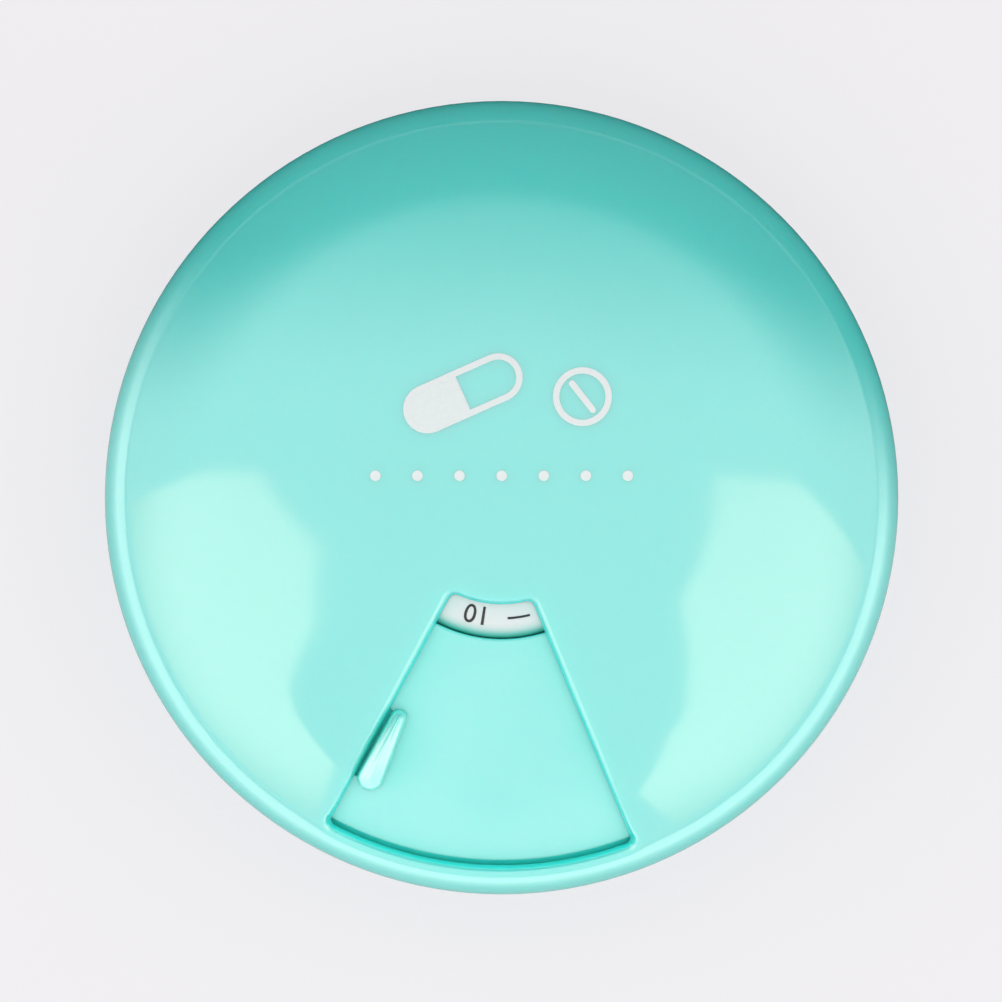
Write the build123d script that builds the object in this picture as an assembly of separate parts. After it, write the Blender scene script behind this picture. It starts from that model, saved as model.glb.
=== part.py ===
from build123d import *
from math import asin, atan, cos, degrees, radians, sin, sqrt, tan
import os

# Weekly pill organizer: a round box with a dome that turns on a seven-pocket tray.
# A fan-shaped door slides under the dome, over the pocket that the dome's opening faces.
# Millimetres, +Z up, the origin on the table under the middle, -Y towards the door.
# Angles called "front" are measured from -Y, positive towards +X.

# Outer form
outer_diameter = 96.0
foot_stand = 1.0  # the feet stand this far out of the underside
bowl_depth = 12.0  # underside of the bowl up to the seam
skirt_height = 1.5  # upright band of the dome, from the seam to its widest line
dome_rise = 16.0  # widest line up to the top of the dome
crown_slope = 14.0  # slope where the flat crown turns into the shoulder
shoulder_slope = 45.0  # slope where the shoulder turns into the rim
rim_slope = 90.0  # slope at the dome's widest line
dome_rim_radius = 8.0
bowl_flat_radius = 30.0
bowl_rim_radius = 8.0
seam_gap = 0.3

# Walls of the mouldings
shell_wall = 1.6
door_thickness = 1.4
cover_thickness = 1.2
bowl_wall = 1.8
tray_outer_wall = 1.3
tray_floor = 1.4
partition_wall = 1.2
tray_inner_wall = 1.4
hub_plate = 2.2

# Gaps between neighbours
slide_gap = 0.3  # the door to the dome above it and to the inner cover below it
cover_gap = 0.4  # the inner cover to the tops of the tray's walls
tray_side_margin = 0.4
nest_gap = 0.3  # the tray to the bowl round it
ring_gap = 0.2  # the day ring to the door's inner edge
tongue_gap = 0.25
bearing_clearance = 0.06
thrust_gap = 0.05
fit_clearance = 0.03

# Fan opening of the dome
fan_left = -28.3  # front angle of the left edge, which points at the middle of the dome
fan_right = 22.6  # direction of the right edge
fan_apex_offset = 1.5  # where the two edges would meet, this far from the middle along the left one
fan_inner_radius = 12.5
fan_rim_margin = 3.2  # the opening's outer edge to the dome's widest line
fan_corner_radius = 1.0
fan_edge_round = 0.5

# Door and its grip
door_outer_gap = 1.3  # the raised panel ends this far inside the opening, and its flange goes on
door_step = 0.7
door_edge_round = 0.4
flange_slope = 68.0
door_overlap = 3.2  # degrees that the door reaches under the dome at each side
grip_front_angle = -25.1
grip_outer_margin = 7.55  # the opening's outer edge to the middle of the grip's wide end
grip_length = 7.85  # between the middles of its two ends
grip_inner_half_width = 1.1
grip_outer_half_width = 1.65
grip_inner_rise = -0.6  # the grip's crest over the dome's surface at its narrow end, middle and wide end
grip_middle_rise = 1.3
grip_outer_rise = 0.7
grip_draft = 3.0
grip_top_round = 0.7

# Inner cover
cover_edge_gap = 0.3
cover_end_slope = 75.0
cover_screw_margin = 10.4  # the tray's outer edge to the screws
cover_screw_count = 4
cover_screw_first = 90.0  # front angle of the first screw
cover_screw_last = 300.0
stop_rib_angle = 2.0  # degrees
stop_rib_inset = 3.0
stop_gap = 0.6  # degrees between the door and the rib that stops it

# Tray and its hub
pocket_count = 7
pocket_corner_radius = 3.2
pocket_floor_round = 2.6
hub_radius = 16.8
hub_ledge = 0.8  # width of the tray's ledge that carries the hub
hub_rib_width = 1.0

# Day ring
day_ring_overlap = 1.1  # the ring reaches this far in under the dome
day_ring_height = 2.4
day_ring_round = 1.2
day_ring_spigot = 1.2

# Bearing and its screw
bearing_radius = 4.5
bearing_wall = 1.7
bearing_bottom = 8.0
thrust_radius = 7.2
index_flange_margin = 0.6
index_flange_thickness = 1.6
index_radius = 8.4
index_dimple_radius = 1.3
index_dimple_depth = 0.7
spring_thickness = 0.3
spring_collar_radius = 4.2
spring_arm_width = 3.0
spring_nub_radius = 1.1
spring_nub_height = 0.5
washer_radius = 5.2
washer_thickness = 0.8

# Screws
pivot_shank_radius = 1.5
pivot_head_radius = 2.8
pivot_head_height = 1.5
pivot_screw_length = 11.0
small_shank_radius = 1.0
small_head_radius = 1.9
small_head_height = 0.9
cover_screw_length = 3.0
cover_pad_height = 0.6
boss_wall = 1.3
head_clearance = 0.15
cross_width = 0.5
cross_depth = 0.6

# Tray screws
tray_screw_count = 3
tray_screw_length = 9.0
counterbore_depth = 1.2

# Bowl's tongue, which runs inside the dome's skirt
tongue_thickness = 1.1
tongue_height = 2.5
edge_round = 0.3

# Feet
foot_radius = 4.0
foot_edge_margin = 1.0
foot_recess = 0.5
foot_round = 0.4

# Levels and radii that follow
outer_radius = outer_diameter / 2
fan_outer_radius = outer_radius - fan_rim_margin
door_panel_radius = fan_outer_radius - door_outer_gap
day_ring_inner_radius = fan_inner_radius - day_ring_overlap
grip_outer_radius = fan_outer_radius - grip_outer_margin
grip_inner_radius = grip_outer_radius - grip_length
seam_z = foot_stand + bowl_depth
equator_z = seam_z + skirt_height
top_z = equator_z + dome_rise
door_top = shell_wall + slide_gap
door_bottom = door_top + door_thickness
cover_top = door_bottom + slide_gap
cover_bottom = cover_top + cover_thickness
tray_top = cover_bottom + cover_gap
pitch = 360 / pocket_count

# The dome's section is three arcs, each tangent to the next.
# The crown and shoulder radii come from the width and the rise that they have to fill.
sin_crown = sin(radians(crown_slope))
cos_crown = cos(radians(crown_slope))
sin_shoulder = sin(radians(shoulder_slope))
cos_shoulder = cos(radians(shoulder_slope))
arc_width = outer_radius - dome_rim_radius * (1 - sin_shoulder)
arc_rise = dome_rise - dome_rim_radius * cos_shoulder
width_share = sin_shoulder - sin_crown
rise_share = cos_crown - cos_shoulder
closure = sin_crown * rise_share - (1 - cos_crown) * width_share
crown_radius = (arc_width * rise_share - arc_rise * width_share) / closure
shoulder_radius = (arc_rise * sin_crown - arc_width * (1 - cos_crown)) / closure
crown_centre = (0.0, top_z - crown_radius)
shoulder_centre = (
    (crown_radius - shoulder_radius) * sin_crown,
    crown_centre[1] + (crown_radius - shoulder_radius) * cos_crown,
)
rim_centre = (outer_radius - dome_rim_radius, equator_z)

# The bowl's section is a flat, a belly arc and a rim arc.
bowl_turn = 2 * atan((bowl_depth - bowl_rim_radius) / (outer_radius - bowl_rim_radius - bowl_flat_radius))
belly_radius = bowl_rim_radius + (outer_radius - bowl_rim_radius - bowl_flat_radius) / sin(bowl_turn)
belly_centre = (bowl_flat_radius, foot_stand + belly_radius)
bowl_rim_centre = (outer_radius - bowl_rim_radius, seam_z)


def at(point):
    """A point of a section, given as radius and height."""
    return (point[0], 0, point[1])


def dome_arc(slope):
    """Centre and radius of the arc that holds a slope of the dome."""
    if slope <= crown_slope:
        return crown_centre, crown_radius
    if slope <= shoulder_slope:
        return shoulder_centre, shoulder_radius
    return rim_centre, dome_rim_radius


def dome_point(slope, depth):
    """Point of the dome's section at a slope, some depth under its outer surface."""
    centre, radius = dome_arc(slope)
    s = radians(slope)
    return (centre[0] + (radius - depth) * sin(s), centre[1] + (radius - depth) * cos(s))


def dome_slope(radius, depth):
    """Slope of the dome where a surface some depth under it passes a plan radius."""
    if radius <= dome_point(crown_slope, depth)[0]:
        return degrees(asin(radius / (crown_radius - depth)))
    if radius <= dome_point(shoulder_slope, depth)[0]:
        return degrees(asin((radius - shoulder_centre[0]) / (shoulder_radius - depth)))
    return degrees(asin((radius - rim_centre[0]) / (dome_rim_radius - depth)))


def dome_height(radius, depth):
    """Height of a surface some depth under the dome, at a plan radius."""
    return dome_point(dome_slope(radius, depth), depth)[1]


def dome_edge(depth, slope_from, slope_to):
    """Arcs of the dome's section, some depth under its surface, between two slopes."""
    low, high = min(slope_from, slope_to), max(slope_from, slope_to)
    stops = [low] + [s for s in (crown_slope, shoulder_slope) if low < s < high] + [high]
    edges = []
    for a, b in zip(stops, stops[1:]):
        inside = (a + b) / 2
        centre, radius = dome_arc(inside)
        ends = [
            (centre[0] + (radius - depth) * sin(radians(s)), centre[1] + (radius - depth) * cos(radians(s)))
            for s in (a, inside, b)
        ]
        edges.append(ThreePointArc(at(ends[0]), at(ends[1]), at(ends[2])))
    return edges


def bowl_arc(turn):
    """Centre and radius of the arc that holds a turn of the bowl, in radians from its flat."""
    if turn <= bowl_turn:
        return belly_centre, belly_radius
    return bowl_rim_centre, bowl_rim_radius


def bowl_point(turn, depth):
    """Point of the bowl's section at a turn, some depth inside its outer surface."""
    centre, radius = bowl_arc(turn)
    return (centre[0] + (radius - depth) * sin(turn), centre[1] - (radius - depth) * cos(turn))


def bowl_edge(depth, turn_to):
    """Arcs of the bowl's section from the edge of its flat up to a turn."""
    stops = [0.0, turn_to] if turn_to <= bowl_turn else [0.0, bowl_turn, turn_to]
    edges = []
    for a, b in zip(stops, stops[1:]):
        inside = (a + b) / 2
        centre, radius = bowl_arc(inside)
        ends = [
            (centre[0] + (radius - depth) * sin(t), centre[1] - (radius - depth) * cos(t))
            for t in (a, inside, b)
        ]
        edges.append(ThreePointArc(at(ends[0]), at(ends[1]), at(ends[2])))
    return edges


def belly_turn_at(radius, depth):
    """Turn of the bowl's belly where a surface some depth inside it passes a plan radius."""
    return asin((radius - belly_centre[0]) / (belly_radius - depth))


def turned(edges, angle=360.0, start=0.0):
    """Solid turned from a closed section, over an angle from a world angle."""
    return Rot(0, 0, start) * revolve(make_face(Curve() + edges), Axis.Z, angle)


def front(angle):
    """World angle of a front angle."""
    return angle - 90.0


def on_circle(radius, front_angle, z=0.0):
    """Location on a circle round the axis, turned to face outwards."""
    return Rot(0, 0, front(front_angle)) * Pos(radius, 0, z)


def plan_point(radius, front_angle):
    """Plan point at a radius and a front angle."""
    a = radians(front(front_angle))
    return (radius * cos(a), radius * sin(a))


def fan_right_angle(radius):
    """Front angle at which the opening's right edge passes a radius."""
    ax, ay = plan_point(fan_apex_offset, fan_left)
    ux, uy = plan_point(1.0, fan_right)
    along = ax * ux + ay * uy
    t = -along + sqrt(along**2 - fan_apex_offset**2 + radius**2)
    return degrees(asin((ax + t * ux) / radius))


def fan_sketch(inner, outer, corner):
    """Plan of the fan between two radii, its edges those of the dome's opening."""
    reach = 2 * outer_radius
    apex = plan_point(fan_apex_offset, fan_left)
    left = plan_point(reach, fan_left)
    ux, uy = plan_point(reach, fan_right)
    right = (apex[0] + ux, apex[1] + uy)
    wedge = make_face(Polyline(apex, left, right, close=True))
    fan = wedge & (Circle(outer) - Circle(inner))
    return fillet(fan.vertices(), corner)


# Radii and levels shared by several pieces
door_inner_radius = hub_radius + ring_gap
cover_inner_radius = door_inner_radius + cover_edge_gap
tray_radius = outer_radius - tray_top - tray_side_margin
cover_screw_radius = tray_radius - cover_screw_margin
pocket_inner_radius = hub_radius + tray_inner_wall
pocket_outer_radius = tray_radius - tray_outer_wall
hub_top = dome_height(hub_radius, door_top) - day_ring_height
hub_low = hub_top - hub_plate
tray_depth = bowl_wall + nest_gap
tray_bottom = foot_stand + tray_depth
boss_end = bearing_bottom - 2 * thrust_gap
pocket_middle = (pocket_inner_radius + pocket_outer_radius) / 2
pocket_front_angle = (fan_left + fan_right_angle(pocket_middle)) / 2
door_left = fan_left - door_overlap
door_right = fan_right_angle(fan_outer_radius) + door_overlap
grip_side_angle = degrees(asin(grip_inner_half_width / grip_inner_radius))
door_travel = fan_right_angle(grip_inner_radius) - grip_front_angle - grip_side_angle - stop_gap
boss_radius = small_shank_radius + boss_wall
hub_wall_inner = hub_radius - hub_ledge
index_flange_radius = index_radius + spring_arm_width / 2 + index_flange_margin
tray_screw_radius = (index_flange_radius + hub_wall_inner) / 2
foot_ring_radius = bowl_flat_radius - foot_radius - foot_edge_margin
skirt_inner_radius = outer_radius - shell_wall
tongue_outer_radius = skirt_inner_radius - tongue_gap
tongue_inner_radius = tongue_outer_radius - tongue_thickness
screw_hole_radius = small_shank_radius + fit_clearance
head_hole_radius = small_head_radius + head_clearance
cover_seat = dome_height(cover_screw_radius, cover_top) + cover_pad_height
cover_head_low = dome_height(cover_screw_radius - small_head_radius, cover_bottom)
tray_screw_seat = foot_stand + counterbore_depth
cover_step = (cover_screw_last - cover_screw_first) / (cover_screw_count - 1)
cover_screw_angles = [cover_screw_first + i * cover_step for i in range(cover_screw_count)]
tray_screw_angles = [i * 360 / tray_screw_count for i in range(tray_screw_count)]
pocket_angles = [pocket_front_angle + i * pitch for i in range(pocket_count)]
foot_angles = {"front_left": -45.0, "front_right": 45.0, "back_right": 135.0, "back_left": -135.0}


def upright(radius, low, high):
    """Round bar on the axis between two heights."""
    return Pos(0, 0, low) * Cylinder(radius, high - low, align=(Align.CENTER, Align.CENTER, Align.MIN))


def dome_layer(depth_top, depth_bottom, inner_radius, end_slope, angle=360.0, start=0.0):
    """Curved plate between two depths under the dome, from an inner radius out to a slope."""
    top_in = dome_slope(inner_radius, depth_top)
    low_in = dome_slope(inner_radius, depth_bottom)
    edges = dome_edge(depth_top, top_in, end_slope) + dome_edge(depth_bottom, low_in, end_slope)
    edges.append(Line(at(dome_point(top_in, depth_top)), at(dome_point(low_in, depth_bottom))))
    edges.append(Line(at(dome_point(end_slope, depth_top)), at(dome_point(end_slope, depth_bottom))))
    return turned(edges, angle, start)


def under_dome(depth, end_slope):
    """Everything from the table up to a surface some depth under the dome."""
    end = dome_point(end_slope, depth)
    edges = dome_edge(depth, 0.0, end_slope)
    edges.append(Polyline(at(end), (end[0], 0, 0), (0, 0, 0), (0, 0, dome_height(0.0, depth))))
    return turned(edges)


def screw(shank_radius, length, head_radius, head_height):
    """Pan-head screw with a cross recess, its seat at the origin and its shank upwards."""
    head = Pos(0, 0, -head_height) * upright(head_radius, 0, head_height)
    head = fillet(head.edges().sort_by(Axis.Z)[0], head_height / 2)
    shank = upright(shank_radius, -head_height / 2, length)
    shank = chamfer(shank.edges().sort_by(Axis.Z)[-1], shank_radius / 2)
    slot = Pos(0, 0, -head_height) * Box(1.2 * head_radius, cross_width, 2 * cross_depth)
    return head + shank - slot - Rot(0, 0, 90) * slot


def make_upper_shell():
    """Dome with its fan opening, bearing boss and screw bosses."""
    edges = dome_edge(0.0, 0.0, rim_slope) + dome_edge(shell_wall, 0.0, rim_slope)
    edges.append(Line((0, 0, top_z), (0, 0, top_z - shell_wall)))
    edges.append(
        Polyline(
            (outer_radius, 0, equator_z),
            (outer_radius, 0, seam_z),
            (skirt_inner_radius, 0, seam_z),
            (skirt_inner_radius, 0, equator_z),
        )
    )
    shell = turned(edges)
    lip = shell.faces().sort_by(Axis.Z)[0].edges()
    shell = fillet(lip, edge_round)
    fan = fan_sketch(fan_inner_radius, fan_outer_radius, fan_corner_radius)
    opening = Pos(0, 0, equator_z) * extrude(fan, top_z)
    shell -= opening
    rim = [e for e in shell.edges() if on_outer_fan_edge(e)]
    shell = fillet(rim, fan_edge_round)

    inside = under_dome(shell_wall / 2, shoulder_slope)
    boss = upright(bearing_radius, boss_end, top_z)
    ring = upright(thrust_radius, hub_top + thrust_gap, top_z)
    ring -= upright(thrust_radius - boss_wall, 0, top_z)
    web_plan = Rectangle(2 * thrust_radius - boss_wall, boss_wall)
    web_low = hub_top + 3 * boss_wall / 2
    for angle in (0, 60, 120):
        boss += Pos(0, 0, web_low) * extrude(Rot(0, 0, angle) * web_plan, top_z - web_low)
    added = boss + ring
    for angle in cover_screw_angles:
        added += on_circle(cover_screw_radius, angle) * upright(boss_radius, cover_seat, top_z)
    shell += added & inside
    shell -= upright(pivot_shank_radius + fit_clearance, boss_end, boss_end + pivot_screw_length)
    hole_top = cover_head_low + small_head_height + cover_screw_length + fit_clearance
    for angle in cover_screw_angles:
        shell -= on_circle(cover_screw_radius, angle) * upright(screw_hole_radius, 0, hole_top)
    return shell


def on_outer_fan_edge(edge):
    """True for an edge of the fan opening that lies on the dome's outer surface."""
    for share in (0.1, 0.5, 0.9):
        p = edge @ share
        radius = sqrt(p.X**2 + p.Y**2)
        inside = fan_inner_radius - edge_round < radius < fan_outer_radius + edge_round
        if not inside or abs(p.Z - dome_height(radius, 0.0)) > shell_wall / 4:
            return False
    return True


def make_fan_door():
    """Fan shutter: a panel that shows in the opening, a flange under the dome and the grip."""
    panel_slope = dome_slope(door_panel_radius, door_top)
    step_depth = door_top + door_step
    flange_in = dome_slope(door_inner_radius, door_bottom)
    top_in = dome_slope(door_inner_radius, door_top)
    edges = dome_edge(door_top, top_in, panel_slope)
    edges += dome_edge(step_depth, panel_slope, flange_slope)
    edges += dome_edge(door_bottom, flange_in, flange_slope)
    edges.append(Line(at(dome_point(panel_slope, door_top)), at(dome_point(panel_slope, step_depth))))
    edges.append(Line(at(dome_point(flange_slope, step_depth)), at(dome_point(flange_slope, door_bottom))))
    edges.append(Line(at(dome_point(top_in, door_top)), at(dome_point(flange_in, door_bottom))))
    door = turned(edges, door_right - door_left, front(door_left))
    rim = [e for e in door.edges() if on_panel_rim(e)]
    door = fillet(rim, door_edge_round)

    return door + make_grip()


def make_grip():
    """Raised grip, wider towards the rim, its crest rising outwards and rounded over."""
    ends = (grip_inner_radius - grip_inner_half_width, grip_outer_radius + grip_outer_half_width)
    middle = sum(ends) / 2
    root_depth = door_top + door_thickness / 2
    low = dome_height(ends[1], root_depth)
    shrink = (top_z - low) * tan(radians(grip_draft))
    block = loft([grip_plan(low, 0.0), grip_plan(top_z, shrink)], ruled=True)
    crest_points = [
        (ends[0], dome_height(ends[0], 0.0) + grip_inner_rise),
        (middle, dome_height(middle, 0.0) + grip_middle_rise),
        (ends[1], dome_height(ends[1], 0.0) + grip_outer_rise),
    ]
    crest_line = ThreePointArc(at(crest_points[0]), at(crest_points[1]), at(crest_points[2]))
    under_crest = turned(
        [
            crest_line,
            Polyline(at(crest_points[2]), (ends[1], 0, 0), (ends[0], 0, 0), at(crest_points[0])),
        ]
    )
    grip = block & under_crest
    crest = [e for e in grip.edges() if on_grip_crest(e, crest_line)]
    grip = fillet(crest, grip_top_round)
    return grip - under_dome(root_depth, shoulder_slope)


def on_panel_rim(edge):
    """True for the door's curved edges on the top of its panel."""
    for share in (0.2, 0.8):
        p = edge @ share
        radius = sqrt(p.X**2 + p.Y**2)
        at_end = min(abs(radius - door_inner_radius), abs(radius - door_panel_radius)) < edge_round / 10
        if not at_end or abs(p.Z - dome_height(radius, door_top)) > edge_round / 10:
            return False
    return True


def grip_plan(height, shrink):
    """Outline of the grip at a height: two round ends and the sides that touch both."""
    narrow = Pos(*plan_point(grip_inner_radius, grip_front_angle)) * Circle(grip_inner_half_width - shrink)
    wide = Pos(*plan_point(grip_outer_radius, grip_front_angle)) * Circle(grip_outer_half_width - shrink)
    return Pos(0, 0, height) * make_hull(narrow.edges() + wide.edges())


def on_grip_crest(edge, crest_line):
    """True for an edge that lies on the crest's turned surface."""
    for share in (0.1, 0.5, 0.9):
        p = edge @ share
        radius = sqrt(p.X**2 + p.Y**2)
        if crest_line.distance_to(Vector(radius, 0, p.Z)) > grip_top_round / 100:
            return False
    return True


def make_inner_cover():
    """Plate under the door, open only over the pocket that the dome's opening faces."""
    cover = dome_layer(cover_top, cover_bottom, cover_inner_radius, cover_end_slope)
    mouth = fan_sketch(pocket_inner_radius, pocket_outer_radius, pocket_corner_radius)
    cover -= extrude(mouth, top_z)
    root_depth = (cover_top + cover_bottom) / 2
    rib_inner = cover_inner_radius + stop_rib_inset
    closed_rib = door_left - stop_gap - stop_rib_angle
    open_rib = door_right + door_travel + stop_gap
    added = [
        dome_layer(door_top, root_depth, rib_inner, shoulder_slope, stop_rib_angle, front(angle))
        for angle in (closed_rib, open_rib)
    ]
    pad = on_circle(cover_screw_radius, 0) * upright(boss_radius, 0, cover_seat)
    pad -= under_dome(root_depth, shoulder_slope)
    hole = upright(screw_hole_radius, 0, top_z)
    hole += upright(head_hole_radius, 0, cover_head_low + small_head_height)
    added += [Rot(0, 0, angle) * pad for angle in cover_screw_angles]
    removed = [on_circle(cover_screw_radius, angle) * hole for angle in cover_screw_angles]
    return cover + added - removed


def pocket_cut():
    """Space of one pocket at front angle 0: upright walls, rounded corners and a scooped floor."""
    half = pitch / 2
    wall = partition_wall / 2
    reach = 2 * outer_radius
    apex_y = -wall / sin(radians(half))
    left = (-reach * sin(radians(half)), apex_y - reach * cos(radians(half)))
    right = (-left[0], left[1])
    wedge = make_face(Polyline((0, apex_y), left, right, close=True))
    plan = wedge & (Circle(pocket_outer_radius) - Circle(pocket_inner_radius))
    plan = fillet(plan.vertices(), pocket_corner_radius)
    block = extrude(plan, top_z)
    depth = tray_depth + tray_floor
    turn = belly_turn_at(tray_radius, depth)
    edges = bowl_edge(depth, turn)
    floor_z = foot_stand + depth
    end = bowl_point(turn, depth)
    edges.append(
        Polyline(
            at(end),
            (end[0], 0, top_z),
            (0, 0, top_z),
            (0, 0, floor_z),
            (bowl_flat_radius, 0, floor_z),
        )
    )
    space = block & turned(edges)
    low_edges = [e for e in space.edges() if (e @ 0.5).Z < end[1] and not upright_edge(e)]
    seams = [e for e in low_edges if on_pocket_wall(e)]
    return fillet(seams, pocket_floor_round)


def upright_edge(edge):
    """True for an edge that runs straight up."""
    a, b = edge @ 0, edge @ 1
    return abs(a.X - b.X) + abs(a.Y - b.Y) < 1e-6 and abs(a.Z - b.Z) > 1e-6


def on_pocket_wall(edge):
    """True for an edge where a pocket's wall meets its floor, and not one across the floor."""
    p = edge @ 0.5
    radius = sqrt(p.X**2 + p.Y**2)
    if min(abs(radius - pocket_inner_radius), abs(radius - pocket_outer_radius)) < 1e-3:
        return True
    side = abs(p.X) * cos(radians(pitch / 2)) + p.Y * sin(radians(pitch / 2))
    return side > -partition_wall / 2 - pocket_corner_radius


def make_pill_tray():
    """Ring of seven pockets, with a ledge for the hub in its middle."""
    tray_end = dome_slope(tray_radius, tray_top)
    turn = belly_turn_at(tray_radius, tray_depth)
    hub_slope = dome_slope(hub_radius, tray_top)
    edges = dome_edge(tray_top, hub_slope, tray_end) + bowl_edge(tray_depth, turn)
    edges.append(Line(at(dome_point(tray_end, tray_top)), at(bowl_point(turn, tray_depth))))
    edges.append(
        Polyline(
            (bowl_flat_radius, 0, tray_bottom),
            (hub_wall_inner, 0, tray_bottom),
            (hub_wall_inner, 0, hub_low),
            (hub_radius, 0, hub_low),
            at(dome_point(hub_slope, tray_top)),
        )
    )
    pocket = pocket_cut()
    return turned(edges) - [Rot(0, 0, angle) * pocket for angle in pocket_angles]


def make_tray_hub():
    """Hub that the screws pull down on the tray's ledge, with the bearing that the dome turns on."""
    bearing_bore = bearing_radius + bearing_clearance
    bearing_outer = bearing_bore + bearing_wall
    flange_top = bearing_bottom + index_flange_thickness
    plate_middle = hub_low + hub_plate / 2
    spigot_radius = day_ring_inner_radius - fit_clearance
    section = Polyline(
        (bearing_bore, 0, bearing_bottom),
        (index_flange_radius, 0, bearing_bottom),
        (index_flange_radius, 0, flange_top),
        (bearing_outer, 0, flange_top),
        (bearing_outer, 0, hub_low),
        (hub_radius - fit_clearance, 0, hub_low),
        (hub_radius - fit_clearance, 0, hub_top),
        (spigot_radius, 0, hub_top),
        (spigot_radius, 0, hub_top + day_ring_spigot),
        (spigot_radius - boss_wall, 0, hub_top + day_ring_spigot),
        (spigot_radius - boss_wall, 0, hub_top),
        (bearing_bore, 0, hub_top),
        close=True,
    )
    rib_inner = bearing_outer - bearing_wall / 2
    rib_outer = hub_wall_inner - nest_gap
    rib_low = flange_top - index_flange_thickness / 2
    rib = extrude(Rectangle(rib_outer - rib_inner, hub_rib_width), plate_middle - rib_low)
    rib_place = (rib_inner + rib_outer) / 2
    added = [on_circle(rib_place, angle + pitch / 2, rib_low) * rib for angle in pocket_angles]
    boss = upright(boss_radius, tray_bottom, plate_middle)
    added += [on_circle(tray_screw_radius, angle) * boss for angle in tray_screw_angles]
    hole = upright(screw_hole_radius, 0, tray_screw_seat + tray_screw_length + fit_clearance)
    removed = [on_circle(tray_screw_radius, angle) * hole for angle in tray_screw_angles]
    dimple_z = bearing_bottom + index_dimple_depth - index_dimple_radius
    dimple = Pos(0, 0, dimple_z) * Sphere(index_dimple_radius)
    removed += [on_circle(index_radius, angle) * dimple for angle in pocket_angles]
    return turned([section]) + added - removed


def make_day_ring():
    """Printed ring that shows in the dome's opening, rounded over towards the door."""
    slope_out = dome_slope(hub_radius, door_top)
    slope_in = dome_slope(day_ring_inner_radius, door_top)
    edges = dome_edge(door_top, slope_in, slope_out)
    edges.append(
        Polyline(
            at(dome_point(slope_out, door_top)),
            (hub_radius, 0, hub_top),
            (day_ring_inner_radius, 0, hub_top),
            at(dome_point(slope_in, door_top)),
        )
    )
    section = make_face(Curve() + edges)
    outer_corner = section.vertices().sort_by(lambda v: v.X + v.Z)[-1]
    return revolve(fillet(outer_corner, day_ring_round), Axis.Z)


def make_base_shell():
    """Lower bowl with the tongue that runs inside the dome's skirt, screw holes and seats for the feet."""
    rim_turn = radians(90) - asin(seam_gap / bowl_rim_radius)
    rim = bowl_point(rim_turn, 0.0)
    inner_turn = asin((tongue_inner_radius - bowl_rim_centre[0]) / (bowl_rim_radius - bowl_wall))
    inner_end = bowl_point(inner_turn, bowl_wall)
    floor_z = foot_stand + bowl_wall
    tongue_top = rim[1] + tongue_height
    edges = bowl_edge(0.0, rim_turn) + bowl_edge(bowl_wall, inner_turn)
    edges.append(
        Polyline(
            at(rim),
            (tongue_outer_radius, 0, rim[1]),
            (tongue_outer_radius, 0, tongue_top),
            (tongue_inner_radius, 0, tongue_top),
            at(inner_end),
        )
    )
    edges.append(
        Polyline(
            (bowl_flat_radius, 0, foot_stand),
            (0, 0, foot_stand),
            (0, 0, floor_z),
            (bowl_flat_radius, 0, floor_z),
        )
    )
    shell = turned(edges)
    outer_lip = [e for e in shell.edges().filter_by(GeomType.CIRCLE) if abs(e.radius - rim[0]) < 1e-3]
    shell = fillet(outer_lip, edge_round)
    for angle in tray_screw_angles:
        spot = on_circle(tray_screw_radius, angle)
        shell += spot * upright(boss_radius, floor_z - nest_gap, floor_z + nest_gap)
        shell -= spot * upright(screw_hole_radius, 0, top_z)
        shell -= spot * upright(head_hole_radius, 0, tray_screw_seat)
    for angle in foot_angles.values():
        seat = upright(foot_radius + fit_clearance, 0, foot_stand + foot_recess)
        shell -= on_circle(foot_ring_radius, angle) * seat
    return shell


def make_foot(angle):
    """Soft round foot, half sunk in its seat."""
    foot = upright(foot_radius, 0, foot_stand + foot_recess)
    foot = fillet(foot.edges().sort_by(Axis.Z)[0], foot_round)
    return on_circle(foot_ring_radius, angle) * foot


def make_index_spring():
    """Leaf spring under the bearing: a collar on the pivot screw and an arm with a nub."""
    low = boss_end - spring_thickness
    hole = pivot_shank_radius + fit_clearance
    arm = Pos(index_radius / 2, 0, 0) * Rectangle(index_radius, spring_arm_width)
    tip = Pos(index_radius, 0, 0) * Circle(spring_arm_width / 2)
    plan = Circle(spring_collar_radius) + arm + tip - Circle(hole)
    leaf = Pos(0, 0, low) * extrude(plan, spring_thickness)
    nub_z = boss_end + spring_nub_height - spring_nub_radius
    nub = Pos(index_radius, 0, nub_z) * Sphere(spring_nub_radius)
    above = Pos(index_radius, 0, low + spring_thickness / 2) * Cylinder(
        spring_nub_radius, top_z, align=(Align.CENTER, Align.CENTER, Align.MIN)
    )
    return Rot(0, 0, front(pocket_front_angle)) * (leaf + (nub & above))


def make_pivot_washer():
    """Thrust washer between the pivot screw's head and the index spring."""
    top = boss_end - spring_thickness
    washer = upright(washer_radius, top - washer_thickness, top)
    return washer - upright(pivot_shank_radius + fit_clearance, 0, top_z)


def make_pivot_screw():
    """Screw up into the dome's bearing boss."""
    seat = boss_end - spring_thickness - washer_thickness
    length = pivot_screw_length - fit_clearance
    return Pos(0, 0, seat) * screw(pivot_shank_radius, length, pivot_head_radius, pivot_head_height)


def make_cover_screws():
    """Screws up into the dome's bosses, their heads sunk in the inner cover."""
    seat = cover_head_low + small_head_height
    one = screw(small_shank_radius, cover_screw_length, small_head_radius, small_head_height)
    return [on_circle(cover_screw_radius, angle, seat) * one for angle in cover_screw_angles]


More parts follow.
